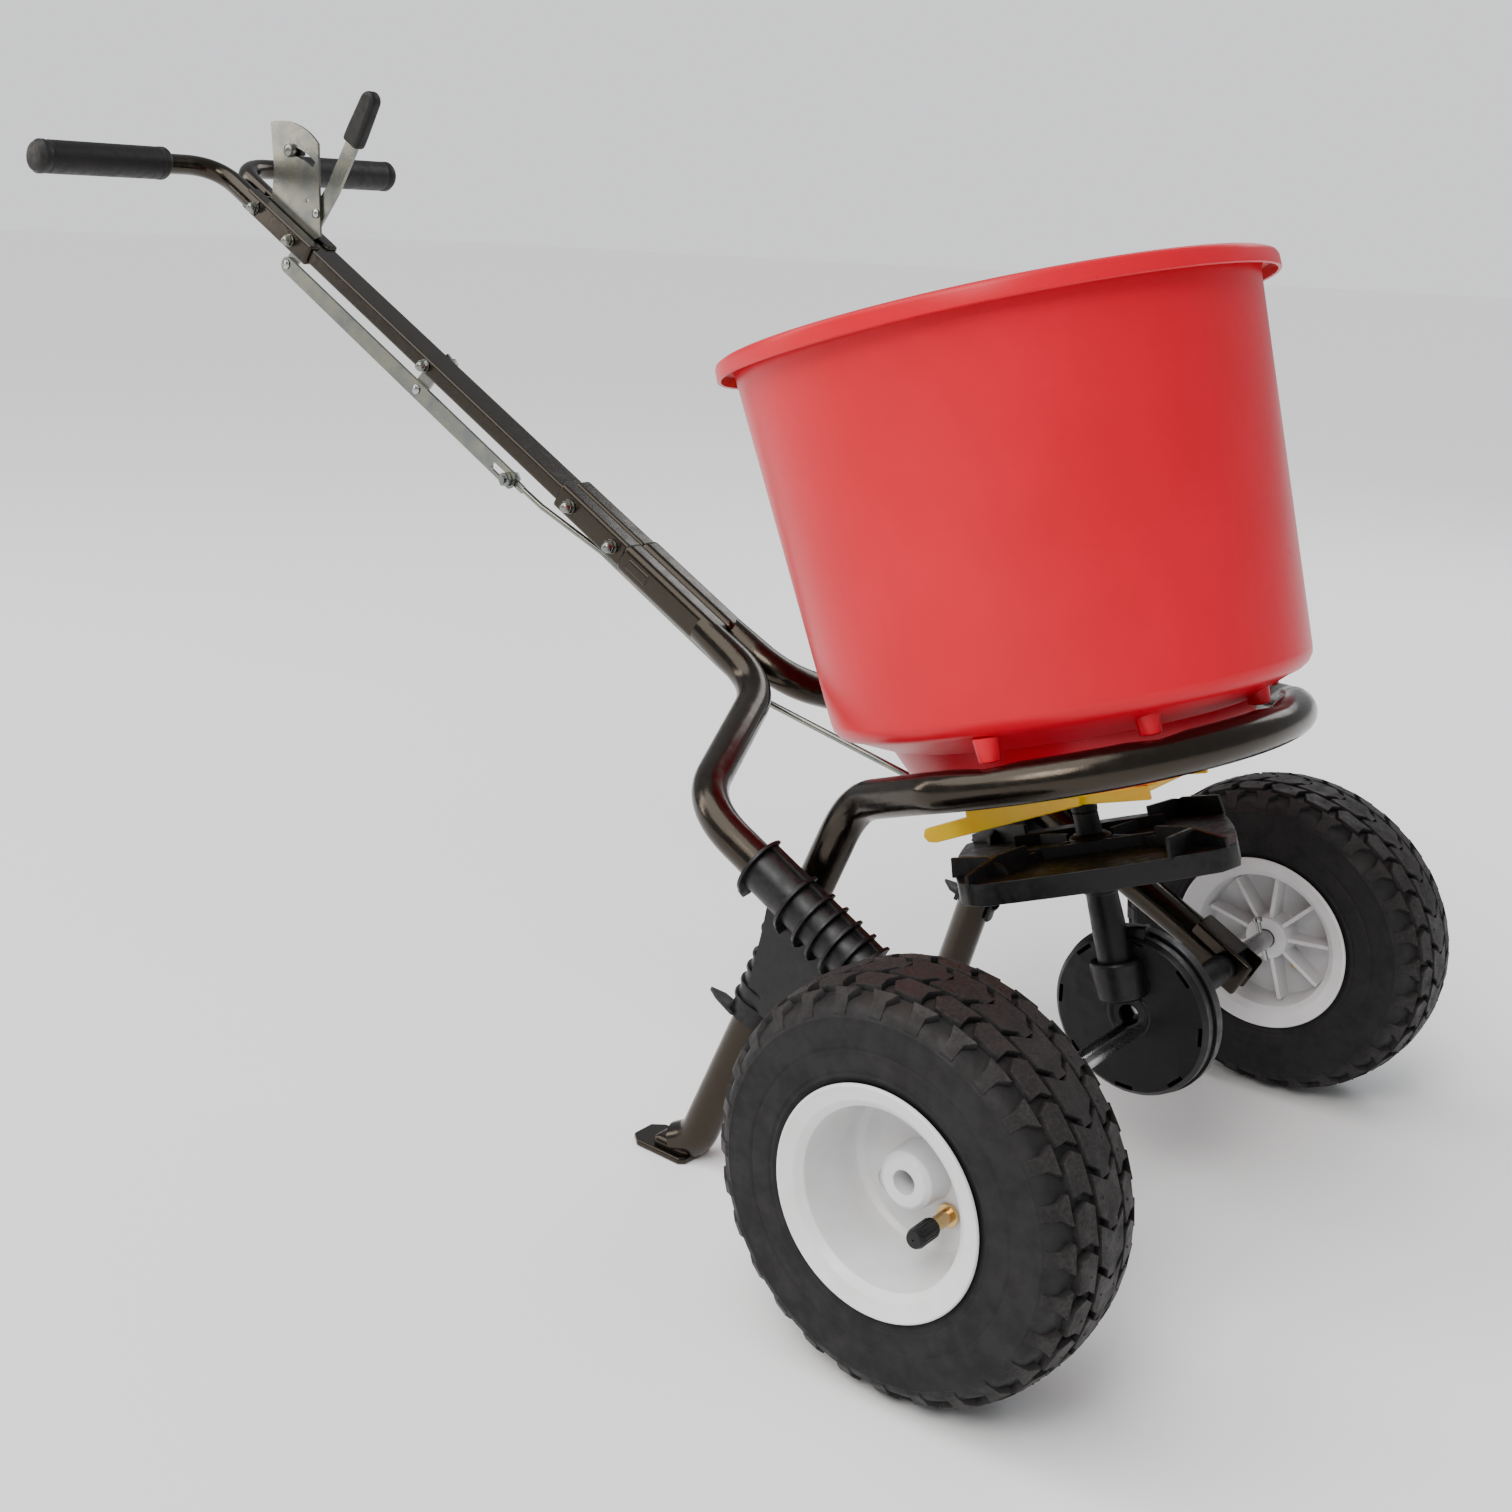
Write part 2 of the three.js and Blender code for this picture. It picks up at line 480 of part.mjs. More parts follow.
// Lower handle tube, drawn for +Y and mirrored: a formed collar, a flattened run, then round.
const END = toHandle([0, FRAME_END_Y, 0]);
const BEND_B = toHandle(flip(handleLine[0]));
const roundRun = bentPath([[FLAT_END - 6, TUBE_R + 0.4, 0], [FLAT_END + 54.8, TUBE_R + 0.4, 0], BEND_B, [END[0] + 4, END[1], END[2]]], 60);
const collar = cut(
  box(COLLAR_START, COLLAR_END, 0.5, MIDDLE_HALF_Y + 3.4, -10.6, 10.6),
  box(0, COLLAR_END + 3, -5, MIDDLE_HALF_Y + GAP, -MIDDLE_HALF_N - GAP, MIDDLE_HALF_N + GAP),
);
const flatRun = cut(
  box(COLLAR_END - 0.5, FLAT_END, 0.5, 19.5, -12, 12),
  box(COLLAR_END - 5, FLAT_END + 5, 2.4, 17.6, -10, 10),
);
const FASTEN_S = [COLLAR_START + 17, COLLAR_END - 15];
const boltHole = (s) => cylY(3.3, -60, 60, s, 0, 14);
const lowerHandle = (() => {
  const tube = sweep(roundRun, TUBE_R, TUBE_R - TUBE_WALL, 22, 10);
  const plug = cut(
    cylX(TUBE_R - 0.1, FLAT_END - 5, FLAT_END, TUBE_R + 0.4, 0, 24),
    cylX(TUBE_R - TUBE_WALL - 0.2, FLAT_END - 9, FLAT_END + 9, TUBE_R + 0.4, 0, 24),
  );
  const flatEnd = box(END[0] - 34, END[0] + 16, END[1] - 12, END[1] + 12, END[2] - 14, END[2] + 14);
  const joined = join(collar, flatRun, plug, tube, flatEnd);
  const bore = cylY(8.6 + GAP, 100, 300, END[0], END[2], 24);
  return cut(joined, bore, ...FASTEN_S.map(boltHole));
})();
add(handle, 'lower_handle_far', lowerHandle, 'blackPaint');
add(handle, 'lower_handle_near', mirrorY(lowerHandle), 'blackPaint');

const middleOuter = box(SLEEVE_END - 12.5, COLLAR_END - 2, -MIDDLE_HALF_Y, MIDDLE_HALF_Y, -MIDDLE_HALF_N, MIDDLE_HALF_N);
const middleInner = box(0, 900, -MIDDLE_HALF_Y + 2, MIDDLE_HALF_Y - 2, -MIDDLE_HALF_N + 2, MIDDLE_HALF_N - 2);
const middle = cut(middleOuter, middleInner, boltHole(IDLER_S), ...FASTEN_S.map(boltHole));
add(handle, 'middle_handle', middle, 'blackPaint');

// Upper handle, drawn for +Y: grip run, bend, then a channel that holds the middle tube.
const UPPER_BOLT_S = 75;
const SLEEVE_IN = 3.5;
const upperY = 11;
const upperHandle = (() => {
  const path = bentPath([[0, GRIP_END - 6, 0], [0, upperY, 0], [SLEEVE_START + 8, upperY, 0]], BEND_R);
  const tube = sweep(path, UPPER_R, UPPER_R - 1.6, 18, 10);
  const channel = cut(
    box(SLEEVE_START, SLEEVE_END, SLEEVE_IN, MIDDLE_HALF_Y + 3.4, -10, 10),
    box(SLEEVE_START + 14, SLEEVE_END + 5, -5, MIDDLE_HALF_Y + GAP, -MIDDLE_HALF_N - GAP, MIDDLE_HALF_N + GAP),
  );
  const flat = cut(tube, box(SLEEVE_START - 40, 200, -20, SLEEVE_IN, -30, 30));
  return cut(join(flat, channel), boltHole(UPPER_BOLT_S), boltHole(PIVOT_S));
})();
add(handle, 'upper_handle_far', upperHandle, 'blackPaint');
add(handle, 'upper_handle_near', mirrorY(upperHandle), 'blackPaint');
const grip = cut(
  join(cylY(GRIP_R, GRIP_START, GRIP_END - 6, 0, 0, 16), cylY(GRIP_R - 3, GRIP_END - 7, GRIP_END, 0, 0, 16)),
  cylY(UPPER_R + GAP, 0, GRIP_END - 5, 0, 0, 16),
);
add(handle, 'grip_far', grip, 'grip');
add(handle, 'grip_near', mirrorY(grip), 'grip');

// ---- rate gauge, lever and link ----------------------------------------
const GAUGE_Y = [-3.2, -0.8];
const LEVER_Y = [-0.4, 2.6];
const gaugeShape = new THREE.Shape();
gaugeShape.moveTo(62, -8);
gaugeShape.lineTo(145, -8);
gaugeShape.lineTo(145, 8);
gaugeShape.lineTo(153, 16);
gaugeShape.lineTo(106, 86);
gaugeShape.quadraticCurveTo(84, 92, 60, 83);
gaugeShape.quadraticCurveTo(48, 78, 38, 70);
gaugeShape.lineTo(64, 37);
gaugeShape.lineTo(76, 12);
gaugeShape.lineTo(62, 6);
// The stop slot is an arc about a point just under the plate's foot.
const ARC = [102, -1];
const ARC_R = 68;
const slotCut = (() => {
  const points = [];
  for (let i = 0; i <= 8; i += 1) {
    const a = (82 + (i / 8) * 34) * Math.PI / 180;
    points.push([ARC[0] + (ARC_R + 3.6) * Math.cos(a), ARC[1] + (ARC_R + 3.6) * Math.sin(a)]);
  }
  for (let i = 8; i >= 0; i -= 1) {
    const a = (82 + (i / 8) * 34) * Math.PI / 180;
    points.push([ARC[0] + (ARC_R - 3.6) * Math.cos(a), ARC[1] + (ARC_R - 3.6) * Math.sin(a)]);
  }
  return plateXZ(points, -10, 10);
})();
const gauge = cut(
  plateXZ(gaugeShape, GAUGE_Y[0], GAUGE_Y[1]),
  slotCut,
  boltHole(UPPER_BOLT_S),
  boltHole(PIVOT_S),
  cylY(1.8, -10, 10, 120, 35, 10),
  cylY(2.8, -10, 10, 137, 31, 12),
);
add(handle, 'gauge_plate', gauge, 'zinc');
const bumper = join(cylY(2.5, -5, -0.7, 137, 31, 12), cylY(4.2, -5.6, -3.5, 137, 31, 12));
add(handle, 'gauge_rivet', bumper, 'steel');
const STOP_A = 112 * Math.PI / 180;
const stopAt = [ARC[0] + ARC_R * Math.cos(STOP_A), ARC[1] + ARC_R * Math.sin(STOP_A)];
const stop = join(cylY(3.1, -9, 12, stopAt[0], stopAt[1], 14), cylY(6.4, -9.5, -3.6, stopAt[0], stopAt[1], 6));
add(handle, 'stop_bolt', stop, 'zinc');
const stopNut = cut(cylY(8, 3.2, 9, stopAt[0], stopAt[1], 12), cylY(3.4, 0, 20, stopAt[0], stopAt[1], 14));
add(handle, 'stop_knob', stopNut, 'blackPlastic');

const linkS = -LINK_LEN * Math.sin(LINK_LEAN);
const linkN = -LINK_LEN * Math.cos(LINK_LEAN);
const leverOutline = [[linkS + PIVOT_S - 8, linkN - 4], [linkS + PIVOT_S - 2, linkN - 8.5],
  [linkS + PIVOT_S + 5, linkN - 6.5], [linkS + PIVOT_S + 8, linkN], [PIVOT_S + 9, 0], [150.5, 60], [151.5, 128],
  [134.5, 128], [133.5, 60], [PIVOT_S - 8.5, 6], [PIVOT_S - 8.5, -6]];
const lever = cut(
  plateXZ(leverOutline, LEVER_Y[0], LEVER_Y[1]),
  cylY(3.3, -10, 10, PIVOT_S, 0, 14),
  cylY(2.9, -10, 10, PIVOT_S + linkS, linkN, 12),
);
add(handle, 'rate_lever', lever, 'zinc');
const gripBody = join(
  box(134, 152, -5.4, 7.6, 106, 150),
  cylY(9, -5.4, 7.6, 143, 150, 20),
);
const gripPocket = box(134 - GAP, 152 + GAP, LEVER_Y[0] - GAP, LEVER_Y[1] + GAP, 90, 128 + GAP);
const leverGrip = cut(join(box(132, 154, -5.4, 7.6, 106, 150), gripBody), gripPocket);
add(handle, 'lever_grip', leverGrip, 'grip');

const BAR_Y = [-3.6, -0.8];
const barEnd = 466;
const pinA = [PIVOT_S + linkS, linkN];
const pinB = [IDLER_S + linkS, linkN];
const ROD_PIN = [459, linkN - 1.5];
const bar = cut(
  join(box(pinA[0], barEnd, BAR_Y[0], BAR_Y[1], linkN - 8, linkN + 7), cylY(7.5, BAR_Y[0], BAR_Y[1], pinA[0], linkN - 0.5, 20)),
  cylY(2.9, -10, 10, pinA[0], pinA[1], 12),
  cylY(2.9, -10, 10, pinB[0], pinB[1], 12),
  join(box(438, 459, -10, 10, ROD_PIN[1] - 3.3, ROD_PIN[1] + 3.3), cylY(3.3, -10, 10, 459, ROD_PIN[1], 14)),
);
add(handle, 'linkage_bar', bar, 'zinc');
const rivet = (p) => join(cylY(2.6, -5, 4, p[0], p[1], 12), cylY(4.4, -5.6, -3.9, p[0], p[1], 12), cylY(4.4, 2.9, 4.6, p[0], p[1], 12));
add(handle, 'link_rivet_upper', rivet(pinA), 'steel');
add(handle, 'link_rivet_lower', rivet(pinB), 'steel');
const idlerBody = cut(
  join(
    box(-8, 8, LEVER_Y[0], LEVER_Y[1], -LINK_LEN, -11),
    cylY(8, LEVER_Y[0], LEVER_Y[1], 0, -LINK_LEN, 20),
    box(-8, 8, LEVER_Y[0], 17, -14, -11),
    box(-8, 8, 14.2, 17, -14, 6),
  ),
  cylY(2.9, -10, 10, 0, -LINK_LEN, 12),
  cylY(3.3, 10, 30, 0, 0, 14),
).rotateY(LINK_LEAN).translate(IDLER_S, 0, 0);
add(handle, 'idler_link', idlerBody, 'zinc');

// Bolts run through the handle along Y, with a domed nut on the near side.
const addBolt = (s, label, farY, nearY) => {
  const shank = cylY(3, nearY - 6, farY + 1, s, 0, 14);
  const head = cylY(5.8, farY + GAP, farY + 4.6, s, 0, 6);
  add(handle, `bolt_${label}`, join(shank, head), 'zinc');
  const nutBody = join(cylY(5.8, nearY - 5.4, nearY - GAP, s, 0, 6), cylY(4.4, nearY - 9.4, nearY - 5, s, 0, 12));
  add(handle, `nut_${label}`, cut(nutBody, cylY(3 + GAP, nearY - 6.4, nearY + 3, s, 0, 14)), 'zinc');
};
const SLEEVE_OUT = MIDDLE_HALF_Y + 3.4;
addBolt(UPPER_BOLT_S, 'upper', SLEEVE_OUT, -SLEEVE_OUT);
addBolt(PIVOT_S, 'pivot', SLEEVE_OUT, -SLEEVE_OUT);
addBolt(IDLER_S, 'idler', 17.4, -MIDDLE_HALF_Y);
addBolt(FASTEN_S[0], 'lower_a', SLEEVE_OUT, -SLEEVE_OUT);
addBolt(FASTEN_S[1], 'lower_b', SLEEVE_OUT, -SLEEVE_OUT);

// Control rod: a flattened eye on the bar, a run under the tubes, then a hook in the plate.
const rodPath = bentPath([[ROD_PIN[0] + 9, 2, ROD_PIN[1]], [500, 0, -29], [572, 0, -20.5], [FLAT_END + 41, 0, -20.5],
  toHandle([HOOK_X, 0, 171]), toHandle([HOOK_X, 0, 149])], 14);
const eye = join(
  cylY(6.5, BAR_Y[1] + GAP, 3.4, ROD_PIN[0], ROD_PIN[1], 16),
  box(ROD_PIN[0], ROD_PIN[0] + 13, BAR_Y[1] + GAP, 3.4, ROD_PIN[1] - 5, ROD_PIN[1] + 5),
);
const rod = cut(join(sweep(rodPath, 2.5, 0, 44, 6), eye), cylY(3.3, -10, 10, ROD_PIN[0], ROD_PIN[1], 14));
add(handle, 'control_rod', rod, 'zinc');
const rodBolt = join(cylY(3, BAR_Y[0] - 7, 6.4, ROD_PIN[0], ROD_PIN[1], 14), cylY(6, 3.8, 7.6, ROD_PIN[0], ROD_PIN[1], 6));
add(handle, 'rod_bolt', rodBolt, 'zinc');
const rodNut = cut(cylY(6.4, BAR_Y[0] - 5, BAR_Y[0] - GAP, ROD_PIN[0], ROD_PIN[1], 6), cylY(3 + GAP, -40, 10, ROD_PIN[0], ROD_PIN[1], 14));
add(handle, 'rod_nut', rodNut, 'zinc');

export default spreader;
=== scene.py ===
"""Push broadcast spreader: the finished surfaces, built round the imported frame."""
import json
import math
import bpy
from mathutils import Matrix, Vector


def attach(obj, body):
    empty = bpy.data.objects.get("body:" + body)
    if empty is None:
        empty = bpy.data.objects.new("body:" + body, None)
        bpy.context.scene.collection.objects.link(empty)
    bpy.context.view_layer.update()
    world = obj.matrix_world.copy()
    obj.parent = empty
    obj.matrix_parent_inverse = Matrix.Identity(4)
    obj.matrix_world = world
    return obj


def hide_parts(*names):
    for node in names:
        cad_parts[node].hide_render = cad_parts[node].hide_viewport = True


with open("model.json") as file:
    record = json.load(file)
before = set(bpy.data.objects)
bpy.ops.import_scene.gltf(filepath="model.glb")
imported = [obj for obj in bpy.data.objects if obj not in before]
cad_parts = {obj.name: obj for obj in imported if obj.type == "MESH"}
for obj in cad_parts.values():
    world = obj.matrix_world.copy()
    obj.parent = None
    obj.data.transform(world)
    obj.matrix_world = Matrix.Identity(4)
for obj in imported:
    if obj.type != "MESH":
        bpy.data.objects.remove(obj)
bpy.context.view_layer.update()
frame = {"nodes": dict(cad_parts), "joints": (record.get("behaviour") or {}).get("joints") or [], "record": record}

# ---- frames, in millimetres ------------------------------------------------
MM = 0.001
ALONG = Vector((0, 1, 0))
joints = {joint["name"]: joint for joint in frame["joints"]}


def joint_place(name):
    return Vector(joints[name]["pos_m"])


def frame_of(ahead, origin):
    """Local x runs ahead, y across and z up, in millimetres."""
    up = ahead.cross(ALONG)
    turn = Matrix((ahead, ALONG, up)).transposed().to_4x4()
    return Matrix.Translation(origin) @ turn @ Matrix.Scale(MM, 4)


MACHINE = frame_of(Vector(joints["shutoff_slide"]["axis"]).normalized(), joint_place("axle_spin"))
PIVOT_S = 133
IDLER_S = 336
down_handle = (joint_place("idler_swing") - joint_place("lever_swing")).normalized()
HANDLE = frame_of(down_handle, joint_place("lever_swing") - down_handle * PIVOT_S * MM)
FLOOR = Matrix.Translation((joint_place("axle_spin").x, 0, 0)) @ Matrix.Scale(MM, 4)
ABOUT_Y = Matrix.Rotation(-math.pi / 2, 4, "X")
ABOUT_X = Matrix.Rotation(math.pi / 2, 4, "Y")

# ---- sizes shared by more than one piece -----------------------------------
TYRE_R = 114.3
RIM_LIP_R = 62.5
RIM_HALF = 47
WHEEL_Y = 262
AXLE_R = 6.3
GAP = 0.3
TUBE_R = 12.7
RING_R = 158
RING_X = -16
RING_Z = 187
FOOT_Y = 157
FRAME_END_Y = 162
LEG_TOP = (-94, -122, 180)
HOPPER_X = 5
HOPPER_TOP_Z = 478
HOPPER_TOP_R = 176
HOPPER_LOW_R = 156
HOPPER_LOW_Z = 218
SPINNER_Z = 118
SPINNER_HALF = 85
SPINNER_TURN = 0.5
SPINNER_SLEEVE = 24
NECK_TOP = 100
SHAFT_R = 5
GEARBOX_R = 53
GEARBOX_Z = 9
UPPER_R = 9.5
GRIP_R = 15.35
GRIP_END = 209
GRIP_START = 72
SLEEVE_START = 56
SLEEVE_END = 160
MIDDLE_HALF_Y = 13.5
MIDDLE_HALF_N = 7
COLLAR_START = 519
COLLAR_END = 603
FLAT_END = 703
LINK_LEAN = math.radians(12)
LINK_LEN = 30
HOOK_X = -123


# ---- modelling helpers -----------------------------------------------------
def pick(obj):
    bpy.ops.object.select_all(action="DESELECT")
    obj.select_set(True)
    bpy.context.view_layer.objects.active = obj
    return obj


def active():
    return bpy.context.view_layer.objects.active


def edit(obj):
    pick(obj)
    bpy.ops.object.mode_set(mode="EDIT")
    bpy.ops.mesh.select_all(action="SELECT")


def leave():
    bpy.ops.object.mode_set(mode="OBJECT")


def apply_modifier(obj, kind, **settings):
    pick(obj)
    modifier = obj.modifiers.new(kind.lower(), kind)
    for key, value in settings.items():
        setattr(modifier, key, value)
    bpy.ops.object.modifier_apply(modifier=modifier.name)
    return obj


def bevelled(obj, width, segments=2, angle=35):
    return apply_modifier(obj, "BEVEL", width=width, segments=segments, limit_method="ANGLE",
                          angle_limit=math.radians(angle), use_clamp_overlap=True, harden_normals=False)


def tidy(obj, distance=0.002):
    edit(obj)
    bpy.ops.mesh.remove_doubles(threshold=distance)
    bpy.ops.mesh.delete_loose()
    bpy.ops.mesh.select_all(action="SELECT")
    bpy.ops.mesh.normals_make_consistent(inside=False)
    leave()
    return obj


def outline_ring(points, filled):
    """A circle primitive with its corners moved to the points of an outline in the XZ plane."""
    bpy.ops.object.select_all(action="DESELECT")
    fill = "NGON" if filled else "NOTHING"
    bpy.ops.mesh.primitive_circle_add(vertices=len(points), radius=1, fill_type=fill)
    ring = active()
    for vertex, (x, z) in zip(ring.data.vertices, points):
        vertex.co = (x, 0, z)
    return ring


def turned(points, steps=72):
    """A closed section of (radius, height) points, spun round Z."""
    ring = outline_ring(points, False)
    edit(ring)
    bpy.ops.mesh.spin(steps=steps, angle=2 * math.pi, center=(0, 0, 0), axis=(0, 0, 1))
    leave()
    return tidy(ring)


def hoop(inner, outer, low, high, steps=40):
    """A plain ring round Z."""
    return turned([(inner, low), (outer, low), (outer, high), (inner, high)], steps)


def on_arc(centre, radius, angles):
    return [(centre[0] + radius * math.cos(a), centre[1] + radius * math.sin(a)) for a in angles]


def plate(points, low, high):
    """A flat plate in the XZ plane, from y = low to y = high."""
    sheet = outline_ring(points, True)
    edit(sheet)
    bpy.ops.mesh.extrude_region_move(TRANSFORM_OT_translate={"value": (0, high - low, 0)})
    leave()
    sheet.data.transform(Matrix.Translation((0, low, 0)))
    return tidy(sheet)


def flat(points, low, high):
    """A flat plate in the XY plane, from z = low to z = high."""
    sheet = plate(points, -high, -low)
    sheet.data.transform(ABOUT_Y)
    return sheet


def block(x0, x1, y0, y1, z0, z1):
    bpy.ops.object.select_all(action="DESELECT")
    bpy.ops.mesh.primitive_cube_add(size=1)
    cube = active()
    place = Matrix.Translation(((x0 + x1) / 2, (y0 + y1) / 2, (z0 + z1) / 2))
    cube.data.transform(place @ Matrix.Diagonal((x1 - x0, y1 - y0, z1 - z0, 1)))
    return cube


def rod(radius, low, high, top=None, sides=40):
    """A round bar along Z; top is its radius at the high end."""
    bpy.ops.object.select_all(action="DESELECT")
    bpy.ops.mesh.primitive_cone_add(vertices=sides, radius1=radius, radius2=radius if top is None else top,
                                    depth=high - low, location=(0, 0, 0))
    bar = active()
    bar.data.transform(Matrix.Translation((0, 0, (low + high) / 2)))
    return bar


def moved(obj, *steps):
    for step in steps:
        obj.data.transform(step)
    return obj


def shift(x=0, y=0, z=0):
    return Matrix.Translation((x, y, z))


def spun(angle, axis="Z"):
    return Matrix.Rotation(angle, 4, axis)


def pinned(obj, place):
    """Turns a piece drawn round Z to lie along Y, through a place (x, z)."""
    return moved(obj, ABOUT_Y, shift(place[0], 0, place[1]))


def across(radius, low, high, x=0, z=0):
    """A round bar along Y at (x, z)."""
    return pinned(rod(radius, low, high), (x, z))


def joined(*objs):
    bpy.ops.object.select_all(action="DESELECT")
    for obj in objs:
        obj.select_set(True)
    bpy.context.view_layer.objects.active = objs[0]
    bpy.ops.object.join()
    return objs[0]


def drilled(obj, *tools):
    """Cuts each tool out of a piece."""
    for tool in tools:
        apply_modifier(obj, "BOOLEAN", operation="DIFFERENCE", solver="EXACT", object=tool)
        bpy.data.objects.remove(tool, do_unlink=True)
    return obj


def bent(points, radius, steps=7):
    """Straight runs joined by curved bends, as a list of points."""
    corners = [Vector(p) for p in points]
    route = [corners[0]]
    for before, corner, after in zip(corners, corners[1:], corners[2:]):
        back, ahead = before - corner, after - corner
        reach = radius / math.tan(back.angle(ahead) / 2)
        reach = min(reach, back.length * 0.48, ahead.length * 0.48)
        start, end = corner + back.normalized() * reach, corner + ahead.normalized() * reach
        for i in range(steps + 1):
            t = i / steps
            route.append(start * (1 - t) ** 2 + corner * 2 * t * (1 - t) + end * t * t)
    route.append(corners[-1])
    return route


def tube(route, radius, sides=9):
    """A round tube along a route, with closed ends."""
    curve = bpy.data.curves.new("route", "CURVE")
    curve.dimensions = "3D"
    curve.bevel_depth = radius
    curve.bevel_resolution = sides
    curve.use_fill_caps = True
    spline = curve.splines.new("POLY")
    spline.points.add(len(route) - 1)
    for point, place in zip(spline.points, route):
        point.co = (*place, 1)
    obj = bpy.data.objects.new("tube", curve)
    bpy.context.scene.collection.objects.link(obj)
    pick(obj)
    bpy.ops.object.convert(target="MESH")
    return tidy(active())


def mirrored(obj):
    """A copy on the other side of the XZ plane, with its own mesh."""
    copy = obj.copy()
    copy.data = obj.data.copy()
    bpy.context.scene.collection.objects.link(copy)
    copy.data.transform(Matrix.Diagonal((1, -1, 1, 1)))
    return tidy(copy)


def done(obj, name, where, finish, body, smooth=38):
    """Puts a piece in its place, gives it its finish and ties it to its body."""
    pick(obj)
    obj.data.transform(obj.matrix_basis)
    obj.matrix_basis = Matrix.Identity(4)
    obj.data.transform(where)
    obj.name = name
    obj.data.name = name
    bpy.ops.object.shade_smooth_by_angle(angle=math.radians(smooth))
    apply_modifier(obj, "WEIGHTED_NORMAL", mode="FACE_AREA", weight=80, keep_sharp=True)
    obj.data.materials.clear()
    obj.data.materials.append(FINISHES[finish])
    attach(obj, body)
    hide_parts(name)
    return obj


# ---- shader groups ---------------------------------------------------------
def new_group(name, inputs, outputs):
    group = bpy.data.node_groups.new(name, "ShaderNodeTree")
    for label, value in inputs:
        socket = group.interface.new_socket(label, in_out="INPUT", socket_type="NodeSocketFloat")
        socket.default_value = value
    for label in outputs:
        group.interface.new_socket(label, in_out="OUTPUT", socket_type="NodeSocketFloat")
    return group, group.nodes.new("NodeGroupInput"), group.nodes.new("NodeGroupOutput")


def add_noise(tree, detail=4.0, roughness=0.55):
    noise = tree.nodes.new("ShaderNodeTexNoise")
    noise.inputs["Detail"].default_value = detail
    noise.inputs["Roughness"].default_value = roughness
    place = tree.nodes.new("ShaderNodeTexCoord")
    tree.links.new(place.outputs["Object"], noise.inputs["Vector"])
    return noise, place


def add_maths(tree, operation, first, second):
    node = tree.nodes.new("ShaderNodeMath")
    node.operation = operation
    for socket, value in zip(node.inputs, (first, second)):
        if isinstance(value, (int, float)):
            socket.default_value = value
        else:
            tree.links.new(value, socket)
    return node.outputs[0]


def add_range(tree, value, low, high):
    node = tree.nodes.new("ShaderNodeMapRange")
    node.inputs["From Min"].default_value = low
    node.inputs["From Max"].default_value = high
    tree.links.new(value, node.inputs["Value"])
    return node.outputs["Result"]


def build_patches():
    """Cloudy patches, from 0 to 1."""
    group, entry, leave_node = new_group("patches", [("Scale", 20.0)], ["Mask"])
    noise, _ = add_noise(group)
    group.links.new(entry.outputs["Scale"], noise.inputs["Scale"])
    group.links.new(add_range(group, noise.outputs["Fac"], 0.38, 0.66), leave_node.inputs["Mask"])
    return group


def build_grain():
    """A fine height over a coarse one: moulded skin, powder coat or cast rubber."""
    inputs = [("Fine", 1500.0), ("Coarse", 90.0), ("Waviness", 0.5)]
    group, entry, leave_node = new_group("grain", inputs, ["Height"])
    fine, _ = add_noise(group, 2.0)
    coarse, _ = add_noise(group, 2.0)
    group.links.new(entry.outputs["Fine"], fine.inputs["Scale"])
    group.links.new(entry.outputs["Coarse"], coarse.inputs["Scale"])
    wave = add_maths(group, "MULTIPLY", coarse.outputs["Fac"], entry.outputs["Waviness"])
    group.links.new(add_maths(group, "ADD", fine.outputs["Fac"], wave), leave_node.inputs["Height"])
    return group


def build_scratches():
    """Sparse fine scratches, from 0 to 1."""
    group, entry, leave_node = new_group("scratches", [("Scale", 60.0), ("Amount", 0.5)], ["Mask"])
    noise, place = add_noise(group, 3.0)
    stretch = group.nodes.new("ShaderNodeMapping")
    stretch.inputs["Rotation"].default_value = (0.4, 0.9, 0.6)
    stretch.inputs["Scale"].default_value = (14, 1, 1)
    group.links.new(place.outputs["Object"], stretch.inputs["Vector"])
    group.links.new(stretch.outputs["Vector"], noise.inputs["Vector"])
    group.links.new(entry.outputs["Scale"], noise.inputs["Scale"])
    lines = add_range(group, noise.outputs["Fac"], 0.66, 0.74)
    group.links.new(add_maths(group, "MULTIPLY", lines, entry.outputs["Amount"]), leave_node.inputs["Mask"])
    return group


def build_dust():
    """Dust that settles on faces that look up, from 0 to 1."""
    group, entry, leave_node = new_group("dust", [("Scale", 45.0), ("Amount", 0.5)], ["Mask"])
    noise, _ = add_noise(group, 6.0, 0.65)
    group.links.new(entry.outputs["Scale"], noise.inputs["Scale"])
    geometry = group.nodes.new("ShaderNodeNewGeometry")
    split = group.nodes.new("ShaderNodeSeparateXYZ")
    group.links.new(geometry.outputs["Normal"], split.inputs["Vector"])
    upward = add_range(group, split.outputs["Z"], -0.3, 0.9)
    cloud = add_range(group, noise.outputs["Fac"], 0.35, 0.7)
    mask = add_maths(group, "MULTIPLY", upward, cloud)
    group.links.new(add_maths(group, "MULTIPLY", mask, entry.outputs["Amount"]), leave_node.inputs["Mask"])
    return group


def build_edges():
    """Worn edges, from 0 to 1, found from how pointed the surface is; on the tyre the same lighter edges also
    serve as a painted edge highlight.
    """
    group, entry, leave_node = new_group("edges", [("Scale", 200.0), ("Amount", 0.5)], ["Mask"])
    geometry = group.nodes.new("ShaderNodeNewGeometry")
    noise, _ = add_noise(group, 4.0)
    group.links.new(entry.outputs["Scale"], noise.inputs["Scale"])
    edge = add_range(group, geometry.outputs["Pointiness"], 0.52, 0.6)
    broken = add_range(group, noise.outputs["Fac"], 0.4, 0.6)
    mask = add_maths(group, "MULTIPLY", edge, broken)
    group.links.new(add_maths(group, "MULTIPLY", mask, entry.outputs["Amount"]), leave_node.inputs["Mask"])
    return group


